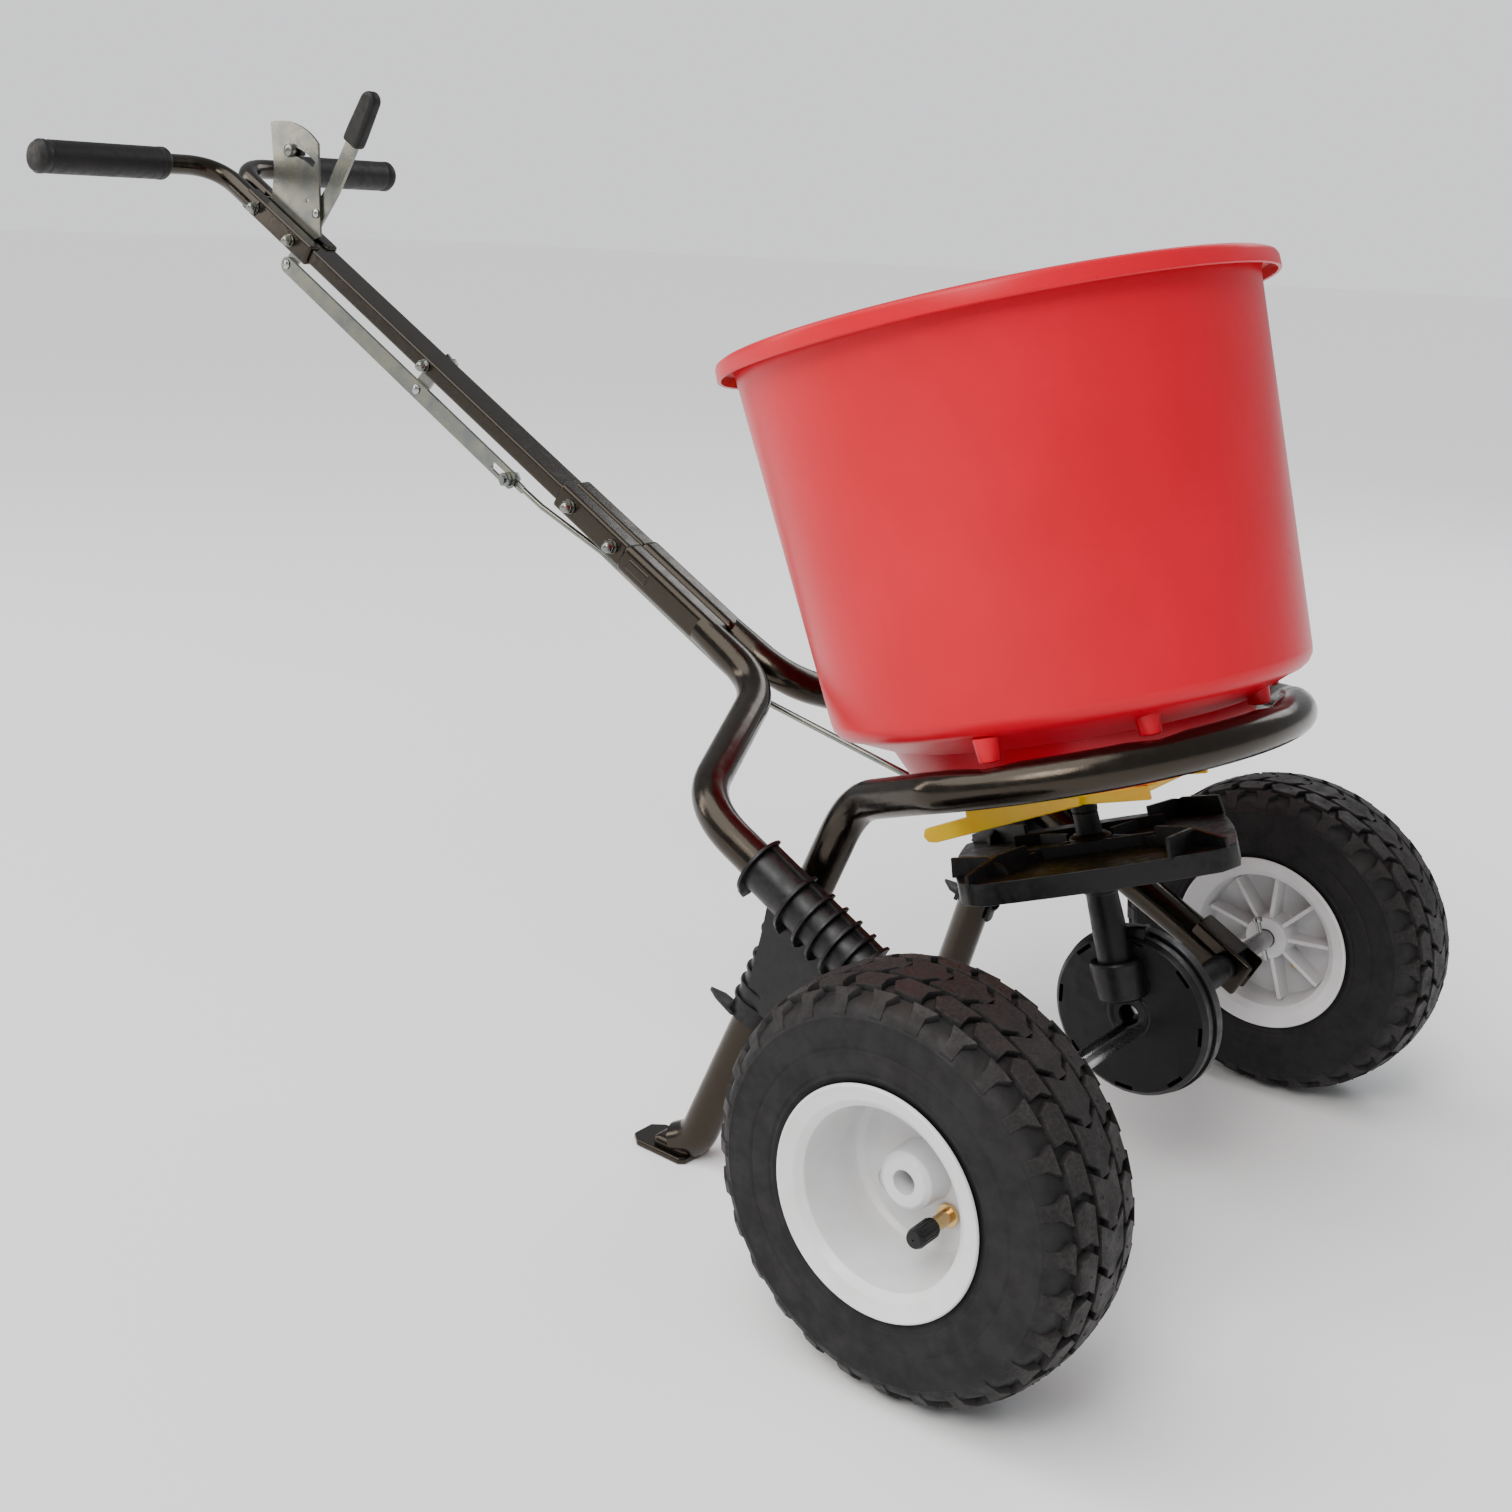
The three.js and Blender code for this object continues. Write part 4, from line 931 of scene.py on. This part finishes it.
def make_lower_handles():
    """Collar, flattened run and round tube, drawn on the far side and mirrored."""
    bend = handle_point((-193, 157, 192))
    end = handle_point((0, FRAME_END_Y, 0))
    start = FLAT_END - 14, TUBE_R + 0.4, 0
    route = bent([start, (FLAT_END + 54.8, TUBE_R + 0.4, 0), bend, end], 60, 12)
    pipe = tube(route, TUBE_R - 0.05, 12)
    for vertex in pipe.data.vertices:
        share = max(0.0, min(1.0, (FLAT_END + 26 - vertex.co.x) / 34))
        ease = share * share * (3 - 2 * share)
        vertex.co.z *= 1 - 0.07 * ease
        if vertex.co.x < FLAT_END + 26:
            vertex.co.y = 10 + (vertex.co.y - 10) * (1 - 0.2 * ease)
    gap_y, gap_n = MIDDLE_HALF_Y + GAP, MIDDLE_HALF_N + GAP
    collar = bevelled(block(COLLAR_START, COLLAR_END, 0.5, MIDDLE_HALF_Y + 3.4, -10.6, 10.6), 3.0, 4)
    collar = drilled(collar, block(0, COLLAR_END - 1, -5, gap_y, -gap_n, gap_n))
    run = bevelled(block(COLLAR_END - 4, FLAT_END + 2, 0.5, 19.5, -11.9, 11.9), 5.5, 5)
    dimple = bevelled(block(COLLAR_END + 6, COLLAR_END + 30, 15, 20.4, -5, 5), 2, 3)
    flat_end = block(end.x - 32, end.x + 15.6, end.y - 12, end.y + 12, end.z - 13.8, end.z + 13.8)
    flat_end = bevelled(flat_end, 2.4, 3)
    slot = block(end.x + 2, end.x + 20, end.y - 9, end.y + 9, end.z - 20, end.z + 20)
    flat_end = drilled(flat_end, slot, across(8.9, 100, 300, end.x, end.z))
    far = joined(collar, run, dimple, pipe, flat_end)
    near = mirrored(far)
    done(far, "lower_handle_far", HANDLE, "black_paint", "frame", smooth=42)
    done(near, "lower_handle_near", HANDLE, "black_paint", "frame", smooth=42)


def make_middle_handle():
    start, end = SLEEVE_END - 12.5, COLLAR_END - 2
    body = bevelled(block(start, end, -MIDDLE_HALF_Y, MIDDLE_HALF_Y, -MIDDLE_HALF_N, MIDDLE_HALF_N), 2.2, 4)
    bore = block(0, 900, -MIDDLE_HALF_Y + 2, MIDDLE_HALF_Y - 2, -MIDDLE_HALF_N + 2, MIDDLE_HALF_N - 2)
    body = drilled(body, bore, across(3.3, -60, 60, IDLER_S, 0))
    done(body, "middle_handle", HANDLE, "black_paint", "frame")


def make_upper_handles():
    """Grip run, bend and channel, drawn on the far side and mirrored."""
    route = bent([(0, GRIP_END - 6, 0), (0, 11, 0), (SLEEVE_START + 22, 11, 0)], 58, 14)
    pipe = tube(route, UPPER_R - 0.05, 10)
    for vertex in pipe.data.vertices:
        share = max(0.0, min(1.0, (vertex.co.x - 10) / 40))
        if vertex.co.y < 30:
            vertex.co.y = max(vertex.co.y, 3.5 * share + vertex.co.y * (1 - share))
    gap_y, gap_n = MIDDLE_HALF_Y + GAP, MIDDLE_HALF_N + GAP
    channel = bevelled(block(SLEEVE_START, SLEEVE_END, 3.5, MIDDLE_HALF_Y + 3.3, -9.9, 9.9), 2.6, 4)
    inner = block(SLEEVE_START + 14, SLEEVE_END + 5, -5, gap_y, -gap_n, gap_n)
    far = joined(drilled(channel, inner), pipe)
    near = mirrored(far)
    done(far, "upper_handle_far", HANDLE, "black_paint", "frame", smooth=42)
    done(near, "upper_handle_near", HANDLE, "black_paint", "frame", smooth=42)


def make_grips():
    bore = UPPER_R + GAP
    mouth = [(1.2, 0), (0, 2.4), (0, 7), (0.8, 8.2), (0.3, 9)]
    tail = [(0.3, 14), (0.9, 12.6), (0.9, 11.6), (0, 9), (0, 5), (2.6, 1.2), (6, 0)]
    section = [(bore, GRIP_START)] + [(GRIP_R - inset, GRIP_START + up) for inset, up in mouth]
    section += [(GRIP_R - inset, GRIP_END - down) for inset, down in tail]
    section += [(0.4, GRIP_END), (0.4, GRIP_END - 5), (bore, GRIP_END - 5)]
    far = moved(bevelled(turned(section, 56), 0.25, 2, 20), ABOUT_Y)
    near = mirrored(far)
    done(far, "grip_far", HANDLE, "grip_vinyl", "frame", smooth=45)
    done(near, "grip_near", HANDLE, "grip_vinyl", "frame", smooth=45)


# ---- clamps ----------------------------------------------------------------
def laid_along(obj, start, end):
    """Lays a piece drawn along Z onto a line, with its open side inboard."""
    z = (end - start).normalized()
    y = z.cross(ALONG).normalized()
    x = y.cross(z)
    turn = Matrix((x, y, z)).transposed().to_4x4()
    return moved(obj, shift(*start) @ turn)


def half_clamp(low, high, ribs, rib_out, drop):
    """A half sleeve with ribs; drop is how far each rib hangs below the tube."""
    inner = TUBE_R + 2 * GAP + 0.1
    outer = inner + 2.9
    angles = [math.pi * (0.42 + 1.16 * i / 20) for i in range(21)]

    def half_ring(outside, z0, z1):
        section = on_arc((0, 0), outside, angles) + on_arc((0, 0), inner, reversed(angles))
        return flat(section, z0, z1)

    parts = [half_ring(outer, low, high)]
    for i, z in enumerate(ribs):
        rib = bevelled(half_ring(outer + rib_out, z, z + 2.4), 0.5)
        parts.append(rib)
        if drop:
            tip = drop * (1.0 if i < 2 else 0.55)
            fin = [(-outer, -outer * 0.3), (-outer + 4, -outer - 2), (-4, -outer - tip),
                   (3, -outer - tip * 0.8), (3, -outer + 0.5), (-outer * 0.7, -outer * 0.7)]
            parts.append(bevelled(flat(fin, z, z + 2.4), 0.5))
    return joined(*parts)


def make_brackets():
    leg_line = [Vector(LEG_TOP), HEEL]
    upper = half_clamp(60, 160, (60, 94, 110, 122, 134, 146, 157.4), 5, 9)
    upper = laid_along(upper, *HANDLE_LINE)
    spine = laid_along(bevelled(block(-3, 3, TUBE_R + 2.5, TUBE_R + 6.4, 60, 160), 0.8), *HANDLE_LINE)
    lower = laid_along(half_clamp(92, 166, (92, 108, 122, 132, 142, 152), 2, 0), *leg_line)
    foot = flat([(-17, -8), (-13, -24), (-8, -33), (-2, -24), (-2, -14), (-14, -5)], 163, 166)
    foot = laid_along(bevelled(foot, 0.6), *leg_line)
    knob = moved(rod(5.5, -20, -11, 4.6, 28), ABOUT_X, shift(0, -8, 99))
    knob = laid_along(bevelled(knob, 1.2, 3), *leg_line)
    web = [(-150, 128), (-98, 84), (-112, 62), (-168, 48), (-186, 62), (-160, 108)]
    web = bevelled(plate(web, -158, -154), 0.8)
    near = joined(upper, spine, lower, foot, knob, web)
    far = mirrored(near)
    done(near, "leg_bracket_near", MACHINE, "black_plastic", "frame")
    done(far, "leg_bracket_far", MACHINE, "black_plastic", "frame")


# ---- gauge, lever and link -------------------------------------------------
GAUGE_Y = (-3.2, -0.8)
LEVER_Y = (-0.4, 2.6)
BAR_Y = (-3.6, -0.8)
UPPER_BOLT_S = 75
ARC = (102, -1)
ARC_R = 68
LINK_S = -LINK_LEN * math.sin(LINK_LEAN)
LINK_N = -LINK_LEN * math.cos(LINK_LEAN)
PIN_A = (PIVOT_S + LINK_S, LINK_N)
PIN_B = (IDLER_S + LINK_S, LINK_N)
ROD_PIN = (459, LINK_N - 1.5)
STOP_ANGLE = math.radians(112)
STOP = (ARC[0] + ARC_R * math.cos(STOP_ANGLE), ARC[1] + ARC_R * math.sin(STOP_ANGLE))


def curve_between(start, control, end, steps=8):
    a, b, c = Vector(start), Vector(control), Vector(end)
    shares = [i / steps for i in range(steps + 1)]
    return [tuple(a * (1 - t) ** 2 + b * 2 * t * (1 - t) + c * t * t) for t in shares]


def make_gauge():
    outline = [(62, -8), (145, -8), (145, 8), (153, 16)]
    outline += curve_between((106, 86), (84, 92), (60, 83)) + curve_between((60, 83), (48, 78), (38, 70))[1:]
    outline += [(64, 37), (76, 12), (62, 6)]
    body = plate(outline, *GAUGE_Y)
    angles = [math.radians(82 + 34 * i / 12) for i in range(13)]
    slot = on_arc(ARC, ARC_R + 3.6, angles) + on_arc(ARC, ARC_R - 3.6, reversed(angles))
    holes = [across(3.3, -10, 10, UPPER_BOLT_S), across(3.3, -10, 10, PIVOT_S), across(1.8, -10, 10, 120, 35)]
    body = drilled(body, plate(slot, -10, 10), *holes)
    marks = []
    for i in range(9):
        angle = math.radians(84 + 30 * i / 8)
        length = 5 if i % 2 == 0 else 3
        tick = block(ARC_R + 6, ARC_R + 6 + length, GAUGE_Y[0] - 0.16, GAUGE_Y[0] + 0.3, -0.45, 0.45)
        marks.append(moved(tick, spun(-angle, "Y"), shift(ARC[0], 0, ARC[1])))
    done(joined(bevelled(body, 0.5), *marks), "gauge_plate", HANDLE, "zinc", "frame")
    head = [(0.3, -5.6), (2.6, -5.4), (4.2, -4.4), (4.2, -3.5), (2.5, -3.5), (2.5, -0.7), (0.3, -0.7)]
    head = bevelled(turned(head, 32), 0.3)
    done(pinned(head, (137, 31)), "gauge_rivet", HANDLE, "steel", "frame")
    shank = across(3.1, -7, 12, *STOP)
    dome = turned([(0.3, -9.4), (3, -9), (5.6, -7.2), (6.4, -5), (6.4, -3.6), (0.3, -3.6)], 36)
    done(joined(shank, pinned(bevelled(dome, 0.3), STOP)), "stop_bolt", HANDLE, "zinc", "stop")
    lobes = [(7.4 + 0.7 * math.cos(8 * a), a) for a in [i * math.pi / 32 for i in range(64)]]
    knob = plate([(STOP[0] + r * math.cos(a), STOP[1] + r * math.sin(a)) for r, a in lobes], 3.2, 9)
    knob = drilled(bevelled(knob, 0.8, 3), across(3.4, 0, 20, *STOP))
    done(knob, "stop_knob", HANDLE, "black_plastic", "stop")


def make_lever():
    tail = PIN_A[0]
    outline = [(tail - 8, LINK_N - 4), (tail - 2, LINK_N - 8.5), (tail + 5, LINK_N - 6.5),
               (tail + 8, LINK_N), (PIVOT_S + 9, 0), (150.5, 60), (151.5, 128), (134.5, 128), (133.5, 60),
               (PIVOT_S - 8.5, 6), (PIVOT_S - 8.5, -6)]
    body = plate(outline, *LEVER_Y)
    body = drilled(body, across(3.3, -10, 10, PIVOT_S), across(2.9, -10, 10, *PIN_A))
    done(bevelled(body, 0.6, 3), "rate_lever", HANDLE, "zinc", "lever")
    angles = [i * math.pi / 12 for i in range(13)]
    cap = [(143 + 9.4 * math.cos(a), 149.6 + 9.2 * math.sin(a)) for a in angles]
    shape = plate([(154, 106), (154.0, 120), *cap, (132.0, 120), (132, 106)], -5.3, 7.5)
    pocket = block(133.7, 152.3, LEVER_Y[0] - GAP, LEVER_Y[1] + GAP, 90, 128 + GAP)
    shape = bevelled(shape, 4.2, 5, 30)
    done(drilled(shape, pocket), "lever_grip", HANDLE, "grip_vinyl", "lever", smooth=50)


def rivet(place):
    section = [(0.3, -5.6), (2.6, -5.5), (4.4, -4.6), (4.4, -3.9), (2.6, -3.9), (2.6, 2.9), (4.4, 2.9),
               (4.2, 3.9), (2.4, 4.6), (0.3, 4.6)]
    return pinned(bevelled(turned(section, 32), 0.2), place)


def make_link():
    end = ROD_PIN[0] + 7
    round_end = on_arc((PIN_A[0], LINK_N - 0.5), 7.5, [math.pi * (i / 12 + 0.5) for i in range(13)])
    outline = round_end + [(PIN_A[0], LINK_N - 8), (end - 2, LINK_N - 8), (end, LINK_N - 6),
                           (end, LINK_N + 5), (end - 2, LINK_N + 7)]
    body = plate(outline, *BAR_Y)
    slot = on_arc(ROD_PIN, 3.3, [math.pi * (i / 10 - 0.5) for i in range(11)])
    slot += on_arc((ROD_PIN[0] - 18, ROD_PIN[1]), 3.3, [math.pi * (i / 10 + 0.5) for i in range(11)])
    body = drilled(body, plate(slot, -10, 10), across(2.9, -10, 10, *PIN_A), across(2.9, -10, 10, *PIN_B))
    done(bevelled(body, 0.6, 2), "linkage_bar", HANDLE, "zinc", "bar")
    done(rivet(PIN_A), "link_rivet_upper", HANDLE, "steel", "bar")
    done(rivet(PIN_B), "link_rivet_lower", HANDLE, "steel", "bar")
    low = LEVER_Y[0]
    ear = plate([(-8, -11), (-8, -LINK_LEN), (-5.6, -LINK_LEN - 5.6), (0, -LINK_LEN - 8),
                 (5.6, -LINK_LEN - 5.6), (8, -LINK_LEN), (8, -11)], low, LEVER_Y[1])
    ear = drilled(ear, across(2.9, -10, 10, 0, -LINK_LEN))
    arm = bevelled(block(-8, 8, low, 17, -14, -11), 0.8)
    tab = drilled(block(-8, 8, 14.2, 17, -14, 6), across(3.3, 10, 30, 0, 0))
    idler = joined(bevelled(ear, 0.5), arm, bevelled(tab, 0.8))
    done(moved(idler, spun(LINK_LEAN, "Y"), shift(IDLER_S, 0, 0)), "idler_link", HANDLE, "zinc", "idler")


def hex_bar(size, low, high):
    return bevelled(rod(size, low, high, sides=6), 0.5)


def make_fasteners():
    sleeve = MIDDLE_HALF_Y + 3.4
    rows = ((UPPER_BOLT_S, "upper", sleeve, -sleeve), (PIVOT_S, "pivot", sleeve, -sleeve),
            (IDLER_S, "idler", 17.4, -MIDDLE_HALF_Y), (COLLAR_START + 17, "lower_a", sleeve, -sleeve),
            (COLLAR_END - 15, "lower_b", sleeve, -sleeve))
    for s, label, far, near in rows:
        washer = bevelled(hoop(3.2, 5.7, far + GAP, far + 1, 32), 0.2)
        bolt = joined(rod(3, near - 6, far + 1, sides=32), hex_bar(5.6, far + 1, far + 4.6), washer)
        done(pinned(bolt, (s, 0)), f"bolt_{label}", HANDLE, "zinc", "frame")
        hexagon = drilled(hex_bar(5.7, near - 5, near - GAP - 0.6), rod(3.2, near - 8, near + 3, sides=24))
        flange = bevelled(hoop(3.3, 5.8, near - GAP, near - GAP - 0.9, 32), 0.2)
        dome = turned([(3.3, near - 4.8), (4.6, near - 4.8), (4.5, near - 6.4), (3.6, near - 8.2),
                       (2, near - 9.2), (0.3, near - 9.4), (0.3, near - 6.6), (3.3, near - 6.5)], 36)
        nut = joined(hexagon, flange, bevelled(dome, 0.2))
        done(pinned(nut, (s, 0)), f"nut_{label}", HANDLE, "zinc", "frame")


def make_control_rod():
    hook_low, hook_high = handle_point((HOOK_X, 0, 149)), handle_point((HOOK_X, 0, 171))
    route = bent([(ROD_PIN[0] + 9, 2, ROD_PIN[1]), (500, 0, -29), (572, 0, -20.5),
                  (FLAT_END + 41, 0, -20.5), hook_high, hook_low], 14, 8)
    wire = tube(route, 2.5, 5)
    low = BAR_Y[1] + GAP
    eye = drilled(across(6.5, low, 3.4, *ROD_PIN), across(3.3, -10, 10, *ROD_PIN))
    neck = block(ROD_PIN[0] + 4.5, ROD_PIN[0] + 17, low + 0.2, 3.2, ROD_PIN[1] - 3.4, ROD_PIN[1] + 3.4)
    piece = joined(bevelled(eye, 0.5), bevelled(neck, 1.2, 3), wire)
    done(piece, "control_rod", HANDLE, "zinc", "rod")
    bolt = joined(across(3, BAR_Y[0] - 7, 4, *ROD_PIN), pinned(hex_bar(5.8, 3.8, 7.6), ROD_PIN))
    done(bolt, "rod_bolt", HANDLE, "zinc", "bar")
    nut = pinned(hex_bar(6.2, BAR_Y[0] - 5, BAR_Y[0] - GAP), ROD_PIN)
    done(drilled(nut, across(3.2, -40, 10, *ROD_PIN)), "rod_nut", HANDLE, "zinc", "bar")


# ---- camera, floor and lights ----------------------------------------------
def make_camera():
    data = bpy.data.cameras.new("camera")
    camera = bpy.data.objects.new("camera", data)
    bpy.context.scene.collection.objects.link(camera)
    azimuth, elevation, roll = (math.radians(a) for a in (40.56, 5.46, -2.35))
    level = Vector((math.cos(azimuth), math.sin(azimuth), 0))
    forward = Vector((-math.sin(azimuth), math.cos(azimuth), 0))
    ahead = forward * math.cos(elevation) - Vector((0, 0, math.sin(elevation)))
    up = level.cross(ahead)
    right = level * math.cos(roll) - up * math.sin(roll)
    top = right.cross(ahead)
    turn = Matrix((right, top, -ahead)).transposed().to_4x4()
    camera.matrix_world = Matrix.Translation((0.9242, -1.1353, 0.6242)) @ turn
    data.sensor_width = 36
    data.lens = 44.93
    data.shift_x = 0.103
    data.shift_y = -0.235
    data.dof.use_dof = False
    bpy.context.scene.camera = camera


def add_area(name, place, aim, size, power, colour):
    data = bpy.data.lights.new(name, "AREA")
    data.energy = power
    data.shape = "RECTANGLE"
    data.size, data.size_y = size
    data.color = colour
    lamp = bpy.data.objects.new(name, data)
    bpy.context.scene.collection.objects.link(lamp)
    lamp.location = place
    lamp.rotation_euler = (Vector(aim) - Vector(place)).to_track_quat("-Z", "Y").to_euler()


def make_studio():
    bpy.ops.object.select_all(action="DESELECT")
    bpy.ops.mesh.primitive_plane_add(size=60, location=(0, 0, 0))
    floor = active()
    floor.name = "floor"
    material = bpy.data.materials.new("floor")
    material.use_nodes = True
    shader = material.node_tree.nodes["Principled BSDF"]
    shader.inputs["Base Color"].default_value = (0.93, 0.93, 0.93, 1)
    shader.inputs["Roughness"].default_value = 0.7
    floor.data.materials.append(material)
    world = bpy.data.worlds.new("studio")
    bpy.context.scene.world = world
    world.use_nodes = True
    back = world.node_tree.nodes["Background"]
    back.inputs["Color"].default_value = (0.96, 0.97, 1.0, 1)
    seen = world.node_tree.nodes.new("ShaderNodeLightPath")
    level = world.node_tree.nodes.new("ShaderNodeMapRange")
    level.inputs["To Min"].default_value = 0.45
    level.inputs["To Max"].default_value = 1.12
    world.node_tree.links.new(seen.outputs["Is Camera Ray"], level.inputs["Value"])
    world.node_tree.links.new(level.outputs["Result"], back.inputs["Strength"])
    middle = (0.1, 0, 0.35)
    add_area("key", (1.0, -2.6, 2.4), middle, (1.3, 1.3), 58, (1.0, 0.97, 0.93))
    add_area("side", (-2.6, -1.4, 1.6), middle, (0.7, 2.2), 34, (1.0, 0.93, 0.85))
    sun = bpy.data.lights.new("sun", "SUN")
    sun.energy = 2.7
    sun.angle = math.radians(60)
    lamp = bpy.data.objects.new("sun", sun)
    bpy.context.scene.collection.objects.link(lamp)
    lamp.rotation_euler = (math.radians(28), math.radians(-14), 0)
    add_area("back", (0.4, 2.8, 2.2), middle, (2.2, 1.2), 30, (0.95, 0.97, 1.0))


make_camera()
make_studio()
make_wheel(-1, "near", "axle")
make_wheel(1, "far", "free_wheel")
make_axle()
make_gearbox()
make_spinner()
make_hopper()
make_shutoff()
make_kickstand()
make_lower_handles()
make_middle_handle()
make_upper_handles()
make_grips()
make_brackets()
make_gauge()
make_lever()
make_link()
make_fasteners()
make_control_rod()

# Pieces whose frame shape is already right keep it and take their finish.
slots = {row["node"]: row["material_slot"] for row in frame["record"]["subparts"]}
for node, obj in frame["nodes"].items():
    if not obj.hide_render:
        obj.data.materials.clear()
        obj.data.materials.append(FINISHES[slots[node]])
